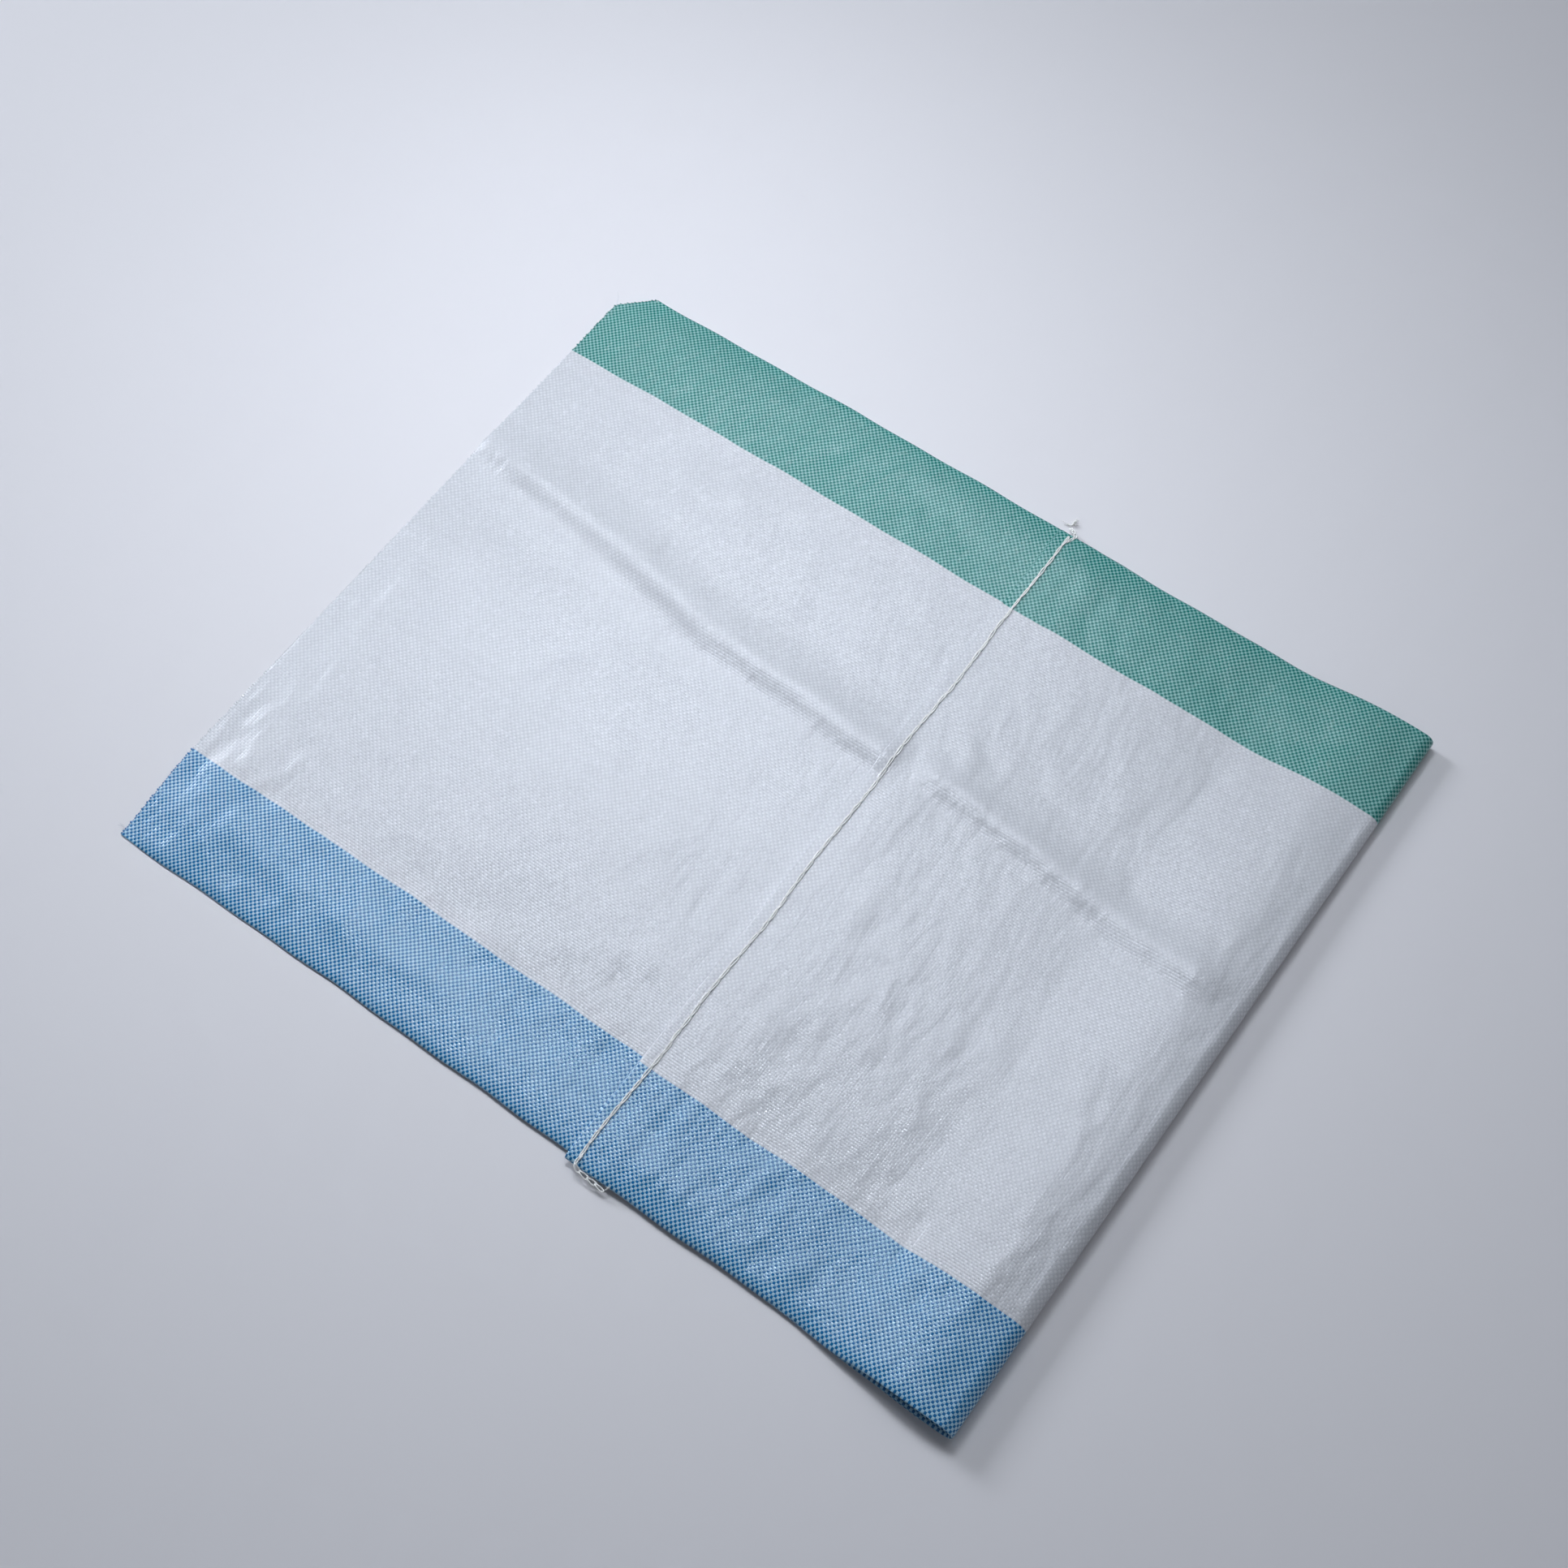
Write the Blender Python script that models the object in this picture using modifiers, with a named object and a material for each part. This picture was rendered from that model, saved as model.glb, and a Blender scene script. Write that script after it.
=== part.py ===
"""A woven polypropylene bag, sewn across its bottom and folded once.

The bag is a flat woven tube, open at its mouth. At the bottom both walls are turned
under together as a hem, and one chain stitch closes it. The bag lies folded on a flat
surface, with its bottom laid back over its mouth half.

Metres, +Z up. The origin is on the surface, under the middle of the bag and its thread.
+X runs from the mouth to the fold, and Y runs across the bag from edge to edge.
"""
import math

import bmesh
import bpy

# The bag as it lies.
WIDTH = 0.550           # across the flat tube
LENGTH = 0.659          # from the mouth to the outside of the fold
FLAP = 0.2864           # from the outside of the fold to the edge of the hem

# The cloth.
WALL = 0.0010           # thickness of one wall
AIR = 0.0004            # between the two walls where they lie flat
REST_GAP = 0.0008       # between the flap and the half it lies on
EDGE_FADE = 0.030       # how far from a side edge the walls stay together

# The fold, which stands higher at one side.
FOLD_RADIUS_LOW = 0.0064
FOLD_RADIUS_HIGH = 0.0091
FOLD_SKEW = 0.0040      # how far the fold leans from square
FOLD_FALL = 0.105       # how far the flap takes to come down from the fold
FOLD_SAG = 0.20         # share of its height that the fold loses at its outside
SAG_REACH = 0.036       # how far inside the fold it starts to sag

# The mouth.
MOUTH_SKEW = 0.0041
MOUTH_SETBACK = 0.0044  # how far it draws in at its -Y corner
SETBACK_RUN = 0.075
CORNER_CUT = 0.022      # the blunted +Y corner, both ways

# How far the bag strays from a straight line.
LEAN = 0.0022           # of the lower half, to +Y
LEAN_RUN = 0.190        # from the mouth
LEAN_END = 0.040        # where it starts to come back, under the flap
LEAN_RETURN = 0.200
FOLD_WIDEN = 0.0060     # how much wider the bag lies at its fold
FOLD_DRIFT = 0.0018     # how far the fold lies to -Y
FOLD_START = 0.150
FOLD_RUN = 0.160
HEM_DRIFT = 0.0011      # how far the hem lies to -Y
HEM_DRIFT_RUN = 0.155

# The hem.
HEM = 0.021             # depth of the turned-under cloth
HEM_AIR = 0.0004        # inside the turn
HEM_SKEW = 0.0040
HEM_SLOPE = 0.030       # how far the flap takes to come down beside the hem
HEM_WIDEN = 0.0030      # how much wider the flap is at its hem
HEM_WAVE = 0.0009       # how far the hem lifts in its waves
HEM_WAVE_LENGTH = 0.24
HEM_WAVE_SHIFT = -0.03

# The closing thread.
THREAD_WIDTH = 0.0029
THREAD_HEIGHT = 0.0011
THREAD_GAP = 0.0004
STITCH_IN = 0.0082      # from the edge of the hem to the middle of the stitch
STITCH_WANDER = 0.0006  # how far the stitch strays to each side
STITCH_WANDER_LENGTH = 0.11

# How finely the surfaces are divided.
COLUMNS = 25
LOWER_ROWS = 29
FLAP_ROWS = 10
FOLD_STEPS = 8
SLOPE_STEPS = 3
HEM_STEPS = 4
EDGE_ANGLES = (60.0, 120.0)
THREAD_SIDES = 6

HALF_SPACE = (WALL + AIR) / 2
HEM_RADIUS = HALF_SPACE + (WALL + HEM_AIR) / 2
LOWER_MID = WALL / 2 + HALF_SPACE
LIE_STEP = 2 * HALF_SPACE + WALL + REST_GAP
HALF_WIDTH = WIDTH / 2 - HALF_SPACE - WALL / 2

# Creases and swells of the upper wall of the lower half:
# start x, start y, end x, end y, half width, height.
LOWER_CREASES = (
    (-0.326, 0.094, -0.064, 0.064, 0.016, 0.0022),
    (-0.064, 0.064, 0.040, 0.056, 0.014, 0.0014),
    (-0.301, -0.235, -0.302, 0.070, 0.012, 0.0014),
    (-0.302, 0.070, -0.312, 0.110, 0.012, 0.0016),
    (-0.312, 0.110, -0.304, 0.215, 0.012, 0.0012),
    (-0.182, 0.148, -0.180, 0.095, 0.015, 0.0015),
    (-0.164, -0.015, -0.158, -0.072, 0.015, 0.0012),
    (-0.262, -0.232, -0.090, -0.238, 0.012, 0.0012),
    (-0.060, -0.190, 0.010, -0.150, 0.018, 0.0012),
)

# The same for the upper wall of the flap.
FLAP_CREASES = (
    (0.088, 0.062, 0.315, 0.036, 0.016, 0.0018),
    (0.070, 0.128, 0.103, 0.088, 0.014, 0.0018),
    (0.103, 0.088, 0.140, 0.110, 0.016, 0.0014),
    (0.075, -0.215, 0.082, -0.060, 0.014, 0.0013),
    (0.210, -0.165, 0.235, -0.070, 0.018, 0.0013),
    (0.255, 0.190, 0.165, 0.222, 0.018, 0.0014),
)

# Gentle swells: wave length along x, along y, shift along x, along y, height.
LOWER_SWELLS = ((0.31, 0.23, 0.05, 0.03, 0.0011), (0.17, 0.29, 0.02, 0.11, 0.0007))
FLAP_SWELLS = ((0.24, 0.27, 0.04, 0.09, 0.0013), (0.15, 0.19, 0.01, 0.02, 0.0008))

# The loose ends of the closing thread: along x from the stitch, past the side edge, and
# the height of the thread's middle as a share of its height on the hem.
TAIL_NEAR = (
    (-0.0008, 0.0012, 1.00),
    (-0.0010, 0.0026, 0.86),
    (0.0026, 0.0042, 0.62),
    (0.0080, 0.0050, 0.38),
    (0.0130, 0.0052, 0.24),
    (0.0180, 0.0055, 0.16),
    (0.0222, 0.0050, 0.13),
    (0.0240, 0.0034, 0.13),
)
TAIL_FAR = (
    (0.0008, 0.0012, 1.00),
    (-0.0008, 0.0040, 0.80),
    (-0.0034, 0.0062, 0.55),
    (-0.0060, 0.0076, 0.34),
    (-0.0064, 0.0096, 0.20),
    (-0.0040, 0.0112, 0.14),
)


def ease(share):
    """Go from 0 to 1 with level ends, and stay there outside."""
    share = min(max(share, 0.0), 1.0)
    return share * share * (3.0 - 2.0 * share)


def crease_height(x, y, rows):
    """Add up the soft ridges near a point: each is a bell across its line."""
    total = 0.0
    for start_x, start_y, end_x, end_y, half_width, height in rows:
        along_x = end_x - start_x
        along_y = end_y - start_y
        share = ((x - start_x) * along_x + (y - start_y) * along_y) / (along_x ** 2 + along_y ** 2)
        share = min(max(share, 0.0), 1.0)
        away = math.hypot(x - start_x - share * along_x, y - start_y - share * along_y)
        total += height * math.exp(-(away / half_width) ** 2)
    return total


def swell_height(x, y, rows):
    """Add up low swells that never go below zero."""
    total = 0.0
    for wave_x, wave_y, shift_x, shift_y, height in rows:
        across = math.cos(math.tau * (x - shift_x) / wave_x)
        along = math.cos(math.tau * (y - shift_y) / wave_y)
        total += height * (1.0 + across * along) / 2
    return total


def side_fade(y):
    """Fade to 0 at the side edges, where the two walls are one."""
    return ease((HALF_WIDTH - abs(y)) / EDGE_FADE)


def mouth_x(y):
    """Line of the mouth: a little out of square, with one corner drawn in and one blunted."""
    skewed = -LENGTH / 2 + MOUTH_SKEW * (WIDTH / 2 - y) / WIDTH
    skewed += MOUTH_SETBACK * (1.0 - ease((HALF_WIDTH + y) / SETBACK_RUN))
    return skewed + max(0.0, y - (HALF_WIDTH - CORNER_CUT))


def fold_radius(y):
    """Middle radius of the fold, largest at the -Y side."""
    share = ease(0.5 - y / WIDTH)
    return FOLD_RADIUS_LOW + (FOLD_RADIUS_HIGH - FOLD_RADIUS_LOW) * share


def fold_x(y):
    """Centre line of the fold, set in from its outside."""
    outside = LENGTH / 2 - FOLD_SKEW * (WIDTH / 2 - y) / WIDTH
    return outside - fold_radius(y) - HALF_SPACE - WALL / 2


def kept_height(x, y):
    """Share of the fold's height that is left where it sags towards its outside."""
    reach = SAG_REACH + fold_radius(y)
    return 1.0 - FOLD_SAG * ease((x - fold_x(y) + SAG_REACH) / reach)


def hem_x(y):
    """Outer edge of the hem."""
    return LENGTH / 2 - FLAP - HEM_SKEW * y / WIDTH


def lower_rise(x, y):
    """Height of the lower half's upper wall above where it would lie flat."""
    folds = crease_height(x, y, LOWER_CREASES) + swell_height(x, y, LOWER_SWELLS)
    clear_of_flap = 1.0 - ease((x - hem_x(y) - HEM) / FOLD_FALL)
    return folds * side_fade(y) * clear_of_flap


def flap_mid(x, y):
    """Height of the middle of the flap, between its two walls."""
    centre = fold_x(y)
    down = ease((centre - x) / FOLD_FALL)
    loop = (2 * fold_radius(y) - LIE_STEP) * (1.0 - down)
    over_hem = 1.0 - ease((x - hem_x(y) - HEM) / HEM_SLOPE)
    swing = math.sin(math.tau * (y - HEM_WAVE_SHIFT) / HEM_WAVE_LENGTH)
    wave = HEM_WAVE * over_hem * (1.0 + swing) / 2
    lying = LIE_STEP + lower_rise(x, y) * down
    height = lying + loop + wave + 2 * HEM_RADIUS * over_hem
    return LOWER_MID + height * kept_height(x, y)


def flap_rise(x, y):
    """Height of the flap's upper wall above where it would lie on the other."""
    folds = crease_height(x, y, FLAP_CREASES) + swell_height(x, y, FLAP_SWELLS)
    off_hem = ease((x - hem_x(y) - HEM) / HEM_SLOPE)
    off_fold = ease((fold_x(y) - x) / HEM_SLOPE)
    return folds * side_fade(y) * off_hem * off_fold


def wall_point(station, y, wall):
    """Middle of a wall at a station: wall is 1 outside the fold, -1 inside it.

    A station is a stretch of the bag and a place on it. Along the lower half, the flap
    and the turned-under cloth the wall is level, and round the fold and the hem's edge
    it follows an arc.
    """
    stretch, place = station
    if stretch == "lower":
        x = mouth_x(y) + place * (fold_x(y) - mouth_x(y))
        z = LOWER_MID - wall * HALF_SPACE
        if wall < 0:
            z += lower_rise(x, y)
    elif stretch == "fold":
        x_middle = fold_x(y) + fold_radius(y) * math.cos(place)
        height = fold_radius(y) * (1.0 + math.sin(place))
        x = x_middle + wall * HALF_SPACE * math.cos(place)
        z = LOWER_MID + height * kept_height(x_middle, y) + wall * HALF_SPACE * math.sin(place)
    elif stretch == "flap":
        slope_end = hem_x(y) + HEM + HEM_SLOPE
        x = fold_x(y) + place * (slope_end - fold_x(y))
        z = flap_mid(x, y) + wall * HALF_SPACE
        if wall > 0:
            z += flap_rise(x, y)
    elif stretch == "over hem":
        x = hem_x(y) + place
        z = flap_mid(x, y) + wall * HALF_SPACE
        if wall > 0:
            z += flap_rise(x, y)
    elif stretch == "hem edge":
        x_centre = hem_x(y) + HEM_RADIUS + HALF_SPACE + WALL / 2
        radius = HEM_RADIUS + wall * HALF_SPACE
        x = x_centre + radius * math.cos(place)
        z = flap_mid(x_centre, y) - HEM_RADIUS + radius * math.sin(place)
    else:
        x = hem_x(y) + place
        z = flap_mid(x, y) - 2 * HEM_RADIUS - wall * HALF_SPACE
    return x, z


def stations():
    """List the stations from the mouth, round the fold, to the turned-under end."""
    hem_centre = HEM_RADIUS + HALF_SPACE + WALL / 2
    rows = [("lower", row / LOWER_ROWS) for row in range(LOWER_ROWS + 1)]
    for step in range(1, FOLD_STEPS):
        rows.append(("fold", math.pi * (step / FOLD_STEPS - 0.5)))
    rows += [("flap", row / FLAP_ROWS) for row in range(FLAP_ROWS + 1)]
    for step in reversed(range(SLOPE_STEPS)):
        rows.append(("over hem", HEM + HEM_SLOPE * step / SLOPE_STEPS))
    rows += [("over hem", HEM / 2), ("over hem", hem_centre)]
    for step in range(1, HEM_STEPS):
        rows.append(("hem edge", math.pi * (step / HEM_STEPS + 0.5)))
    rows += [("turned", hem_centre), ("turned", HEM / 2), ("turned", HEM)]
    return rows


def stray(station, x, y):
    """Place a point across the bag, which leans a little and is wider at its fold and hem."""
    stretch, place = station
    at_fold = ease((x - FOLD_START) / FOLD_RUN)
    strayed = y * (1.0 + at_fold * FOLD_WIDEN / WIDTH) - at_fold * FOLD_DRIFT
    if stretch == "lower":
        lean = ease((x - mouth_x(y)) / LEAN_RUN) - ease((x - LEAN_END) / LEAN_RETURN)
        return strayed + LEAN * lean
    if stretch == "fold":
        return strayed
    share = place if stretch == "flap" else 1.0
    at_hem = 1.0 - ease((x - hem_x(y)) / HEM_DRIFT_RUN)
    return strayed + y * share * HEM_WIDEN / WIDTH - HEM_DRIFT * at_hem


def columns():
    """List the places across the bag: its two edges, and an even spread between."""
    inner = HALF_WIDTH - CORNER_CUT
    last = COLUMNS - 3
    spread = [-inner + 2 * inner * column / last for column in range(last + 1)]
    return [-HALF_WIDTH] + spread + [HALF_WIDTH]


def side_edge(station, y, angles):
    """Round a side edge from one wall to the other on a small arc."""
    outer_x, outer_z = wall_point(station, y, 1)
    inner_x, inner_z = wall_point(station, y, -1)
    side = math.copysign(1.0, y)
    points = []
    for angle in angles:
        swing = math.cos(math.radians(angle))
        x = (outer_x + inner_x) / 2 + (outer_x - inner_x) / 2 * swing
        z = (outer_z + inner_z) / 2 + (outer_z - inner_z) / 2 * swing
        reach = side * HALF_SPACE * math.sin(math.radians(angle))
        points.append((x, stray(station, x, y) + reach, z))
    return points


def tube_section(station):
    """Go once round the tube at a station: outer wall, edge, inner wall, edge."""
    across = columns()
    loop = []
    for y in across:
        x, z = wall_point(station, y, 1)
        loop.append((x, stray(station, x, y), z))
    loop += side_edge(station, across[-1], EDGE_ANGLES)
    for y in reversed(across):
        x, z = wall_point(station, y, -1)
        loop.append((x, stray(station, x, y), z))
    loop += side_edge(station, across[0], reversed(EDGE_ANGLES))
    return loop


def loft(name, loops, capped):
    """Join loops of equal length into one skin, with its ends closed or left open."""
    count = len(loops[0])
    points = [point for loop in loops for point in loop]
    faces = []
    for row in range(len(loops) - 1):
        start = row * count
        for corner in range(count):
            beside = (corner + 1) % count
            faces.append((start + corner, start + beside, start + count + beside, start + count + corner))
    if capped:
        faces.append(tuple(range(count)))
        faces.append(tuple(range(len(points) - count, len(points))))
    mesh = bpy.data.meshes.new(name)
    mesh.from_pydata(points, [], faces)
    shape = bmesh.new()
    shape.from_mesh(mesh)
    bmesh.ops.recalc_face_normals(shape, faces=shape.faces)
    shape.to_mesh(mesh)
    shape.free()
    mesh.shade_smooth()
    return bpy.data.objects.new(name, mesh)


def thread_route():
    """Follow the chain stitch along the hem, with a loose end past each side edge."""
    station = ("over hem", STITCH_IN)
    on_hem = []
    for y in columns():
        x, z = wall_point(station, y, 1)
        x += STITCH_WANDER * math.sin(math.tau * y / STITCH_WANDER_LENGTH)
        z += WALL / 2 + THREAD_GAP + THREAD_HEIGHT / 2
        on_hem.append((x, stray(station, x, y), z))
    x, y, z = on_hem[0]
    near = [(x + step, y - reach, z * height) for step, reach, height in TAIL_NEAR]
    x, y, z = on_hem[-1]
    far = [(x + step, y + reach, z * height) for step, reach, height in TAIL_FAR]
    return list(reversed(near)) + on_hem + far


def thread_loops():
    """Carry a flat rounded band along the thread's route."""
    route = thread_route()
    loops = []
    for place, (x, y, z) in enumerate(route):
        before = route[max(place - 1, 0)]
        after = route[min(place + 1, len(route) - 1)]
        run_x = after[0] - before[0]
        run_y = after[1] - before[1]
        run = math.hypot(run_x, run_y)
        loop = []
        for side in range(THREAD_SIDES):
            angle = math.tau * side / THREAD_SIDES
            across = THREAD_WIDTH / 2 * math.cos(angle)
            up = THREAD_HEIGHT / 2 * math.sin(angle)
            loop.append((x + across * run_y / run, y - across * run_x / run, z + up))
        loops.append(loop)
    return loops


def middle_offset(loops):
    """Find how far to move the bag so that its middle is over the origin."""
    xs = [point[0] for loop in loops for point in loop]
    ys = [point[1] for loop in loops for point in loop]
    return -(min(xs) + max(xs)) / 2, -(min(ys) + max(ys)) / 2


def moved(loops, offset):
    """Move loops along X and Y."""
    return [[(x + offset[0], y + offset[1], z) for x, y, z in loop] for loop in loops]


def plain_material(name, colour, roughness):
    """Make a plain Principled material."""
    material = bpy.data.materials.new(name)
    material.use_nodes = True
    shader = material.node_tree.nodes["Principled BSDF"]
    shader.inputs["Base Color"].default_value = colour + (1.0,)
    shader.inputs["Roughness"].default_value = roughness
    shader.inputs["Metallic"].default_value = 0.0
    return material


def main():
    """Build the bag in an empty scene."""
    for item in list(bpy.data.objects):
        bpy.data.objects.remove(item)
    collection = bpy.data.collections.new("woven_bag")
    bpy.context.scene.collection.children.link(collection)
    tube = [tube_section(station) for station in stations()]
    chain = thread_loops()
    offset = middle_offset(tube + chain)

    cloth = loft("bag_cloth", moved(tube, offset), capped=False)
    wall = cloth.modifiers.new("wall", "SOLIDIFY")
    wall.thickness = WALL
    wall.offset = 0.0
    wall.use_even_offset = False
    cloth.data.materials.append(plain_material("woven_cloth", (0.80, 0.82, 0.86), 0.45))
    collection.objects.link(cloth)

    thread = loft("closing_thread", moved(chain, offset), capped=True)
    thread.data.materials.append(plain_material("cotton_thread", (0.78, 0.74, 0.64), 0.85))
    collection.objects.link(thread)


main()
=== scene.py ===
# %% [markdown]
# # A folded woven plastic bag
#
# This lesson dresses a bag woven from flat polypropylene tapes. It is a tube without side
# seams, with a blue band along one side edge and a green one along the other. Its bottom is
# turned under and closed with one chain stitch, and it lies folded once, with the bottom
# laid back over the mouth half.
#
# The solid model of the bag comes first. The woven tube below is set on its cloth's box.

# %% Load the solid model
import math

import bpy
import numpy as np
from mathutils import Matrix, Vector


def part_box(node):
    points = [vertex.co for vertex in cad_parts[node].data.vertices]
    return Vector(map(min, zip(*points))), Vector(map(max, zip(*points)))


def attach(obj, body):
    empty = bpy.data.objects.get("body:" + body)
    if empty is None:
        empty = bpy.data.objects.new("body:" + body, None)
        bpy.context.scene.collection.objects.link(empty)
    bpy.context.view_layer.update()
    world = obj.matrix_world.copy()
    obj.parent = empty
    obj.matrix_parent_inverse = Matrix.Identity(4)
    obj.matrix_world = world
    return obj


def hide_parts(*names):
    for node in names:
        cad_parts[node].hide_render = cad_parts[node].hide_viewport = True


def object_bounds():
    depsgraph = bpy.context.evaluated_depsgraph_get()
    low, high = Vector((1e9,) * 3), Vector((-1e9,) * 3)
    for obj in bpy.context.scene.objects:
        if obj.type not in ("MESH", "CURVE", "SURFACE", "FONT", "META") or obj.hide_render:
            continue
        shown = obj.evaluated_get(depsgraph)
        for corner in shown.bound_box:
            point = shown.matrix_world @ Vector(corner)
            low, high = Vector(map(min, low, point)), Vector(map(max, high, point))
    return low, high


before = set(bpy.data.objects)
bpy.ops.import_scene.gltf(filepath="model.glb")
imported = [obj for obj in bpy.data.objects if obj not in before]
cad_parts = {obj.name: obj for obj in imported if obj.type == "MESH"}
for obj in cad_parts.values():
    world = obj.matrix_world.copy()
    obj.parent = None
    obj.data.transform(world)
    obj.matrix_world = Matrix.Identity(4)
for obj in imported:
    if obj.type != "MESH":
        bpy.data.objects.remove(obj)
solid_low, solid_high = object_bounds()
cloth_low, cloth_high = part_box("bag_cloth")
thread_low, thread_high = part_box("closing_thread")
for name, low, high in (("bag", solid_low, solid_high), ("thread", thread_low, thread_high)):
    print("solid", name, [round(end - start, 4) for start, end in zip(low, high)])

# %% [markdown]
# ## Sizes
#
# Bag cloth is sold by its tapes: here 600 of them go once round the tube, so one tape is
# the width of the flat tube, twice over, shared by 600. The tapes that cross it lie a
# little closer. Working in tapes makes the stripes exact, because a stripe is always a
# whole number of tapes.

# %% Sizes of the bag
WIDTH = 0.550  # across the flat tube
LENGTH = 0.659  # from the mouth to the outside of the fold
FLAP = 0.2864  # from the outside of the fold to the edge of the hem
TAPES_ROUND = 600
BAND_TAPES = 40  # coloured tapes on each side of a side edge
TAPE = 2 * WIDTH / TAPES_ROUND
WEFT_PITCH = 0.001718  # from one crossing tape to the next
HEM = 0.021  # depth of the turned-under cloth

CLOTH = 0.0003  # thickness of one wall
GAP = 0.0004  # between the flap and the half it lies on

# %% [markdown]
# ## Small helpers for surfaces
#
# Every surface below is worked out as whole arrays. Two curves do most of the shaping: an
# ease, which goes from 0 to 1 with level ends, and a bell. A crease in pressed cloth is
# rarely even. One side is steep and the other runs out gently, so a crease here is a line
# with two widths.

# %% Ease and creases
TINY = 1e-9  # keeps a division clear of zero


def ease(share):
    """3 t squared minus 2 t cubed, with t held between 0 and 1."""
    t = np.clip(share, 0.0, 1.0)
    return t * t * (3.0 - 2.0 * t)


def between(start, end, share):
    """Start plus a share of the way to end."""
    return start + (end - start) * share


def ridge(x, y, line, left, right, height):
    """Height times e to minus (distance to the line / width) squared.

    The width is `left` on the left of the line as it is walked, and `right` on its right.
    The ridge fades out over its own width past both ends.
    """
    nearest = np.full(np.broadcast(x, y).shape, np.inf)
    side = np.zeros(nearest.shape)
    for (start_x, start_y), (end_x, end_y) in zip(line[:-1], line[1:]):
        run_x, run_y = end_x - start_x, end_y - start_y
        share = ((x - start_x) * run_x + (y - start_y) * run_y) / (run_x ** 2 + run_y ** 2)
        share = np.clip(share, 0.0, 1.0)
        off_x = x - start_x - share * run_x
        off_y = y - start_y - share * run_y
        distance = np.hypot(off_x, off_y)
        closer = distance < nearest
        nearest = np.where(closer, distance, nearest)
        turn = (run_x * off_y - run_y * off_x) / (np.hypot(run_x, run_y) * (distance + TINY))
        side = np.where(closer, turn, side)
    width = (left + right) / 2 + (left - right) / 2 * np.clip(side, -1.0, 1.0)
    return height * np.exp(-(nearest / width) ** 2)


def ridges(x, y, rows):
    """Sum of the ridges in a table. Its lengths are millimetres, to keep the rows short."""
    total = np.zeros(np.broadcast(x, y).shape)
    for line, left, right, height in rows:
        total += ridge(x * 1000, y * 1000, line, left, right, height)
    return total / 1000


# %% [markdown]
# Thin stiff cloth that has been packed and pressed is also covered with little dents. They
# run mostly across the bag, because the crossing tapes buckle first. There are hundreds, so
# each patch of cloth gets a number of them, scattered by a seeded draw.

# %% Dents
DENT_TILT = 0.30  # spread of their turn, in radians
DENT_SIZES = (0.7, 1.35)  # shares of the patch's half length and half width
DENT_DEPTHS = (0.35, 1.0)  # shares of its depth
DENT_SIGNS = (-1.0, -1.0, 1.0)  # two in three go down


def dents(x, y, patches, draw):
    """Sum of small tilted bells: depth * e to minus ((a / half width)^2 + (b / half length)^2).

    a and b are the offsets from the dent's middle along its own two directions. A patch
    names its limits, its number of dents, their depth, half length and half width.
    """
    total = np.zeros(np.broadcast(x, y).shape)
    for low_x, high_x, low_y, high_y, count, depth, half_length, half_width in patches:
        for _ in range(count):
            middle_x, middle_y = draw.uniform(low_x, high_x), draw.uniform(low_y, high_y)
            tilt = draw.normal(0.0, DENT_TILT)
            size = draw.uniform(*DENT_SIZES)
            rise = depth * draw.uniform(*DENT_DEPTHS) * draw.choice(DENT_SIGNS)
            off_x, off_y = x * 1000 - middle_x, y * 1000 - middle_y
            across = (off_x * math.cos(tilt) + off_y * math.sin(tilt)) / (half_width * size)
            along = (off_y * math.cos(tilt) - off_x * math.sin(tilt)) / (half_length * size)
            total += rise * np.exp(-across ** 2 - along ** 2)
    return total / 1000


def swells(x, y, rows):
    """Low waves: height * (1 + cos along x * cos along y) / 2, which never go below zero."""
    total = np.zeros(np.broadcast(x, y).shape)
    for wave_x, wave_y, shift_x, shift_y, height in rows:
        along = np.cos(math.tau * (x - shift_x) / wave_x)
        across = np.cos(math.tau * (y - shift_y) / wave_y)
        total += height * (1.0 + along * across) / 2
    return total


# %% [markdown]
# ## The bag as a folded tube
#
# The tube could be simulated, but the folds that matter are few and known, so it is
# written as a formula instead. A middle surface runs from the mouth along the lower half,
# round the fold, back as the flap, and under at the hem. The two walls lie on both sides
# of it, half a space away, and meet on a tiny arc at the side edges.
#
# First come the lines that steer it: the mouth, the fold, the hem and the side edges.

# %% Lines across the bag
MOUTH_SKEW = 0.0041
MOUTH_SETBACK, SETBACK_RUN = 0.0044, 0.075  # how far the blue corner draws in
CORNER_CUT = 0.022  # the blunted green corner
EDGE_SPACE = 0.00022  # half the space between the walls at a side edge
HALF_WIDTH = WIDTH / 2 - EDGE_SPACE - CLOTH / 2
FOLD_RADIUS_LOW = 0.0064
FOLD_RADIUS_HIGH = 0.0091  # the fold stands higher at the blue edge
FOLD_SPACE = 0.0006  # half the space between the walls round the fold
FOLD_SKEW = 0.0040
FOLD_SAG, SAG_REACH = 0.20, 0.036  # how much the fold sags at its outside
HEM_SKEW = 0.0040
HEM_SLOPE = 0.030  # how far the flap takes to come down beside the hem


def mouth_x(y):
    """A cut a little out of square, drawn in at one corner and blunted at the other."""
    skewed = -LENGTH / 2 + MOUTH_SKEW * (WIDTH / 2 - y) / WIDTH
    skewed = skewed + MOUTH_SETBACK * (1.0 - ease((HALF_WIDTH + y) / SETBACK_RUN))
    return skewed + np.maximum(0.0, y - (HALF_WIDTH - CORNER_CUT))


def fold_radius(y):
    """Middle radius of the fold, eased from its high end to its low end."""
    return between(FOLD_RADIUS_LOW, FOLD_RADIUS_HIGH, ease(0.5 - y / WIDTH))


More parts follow.
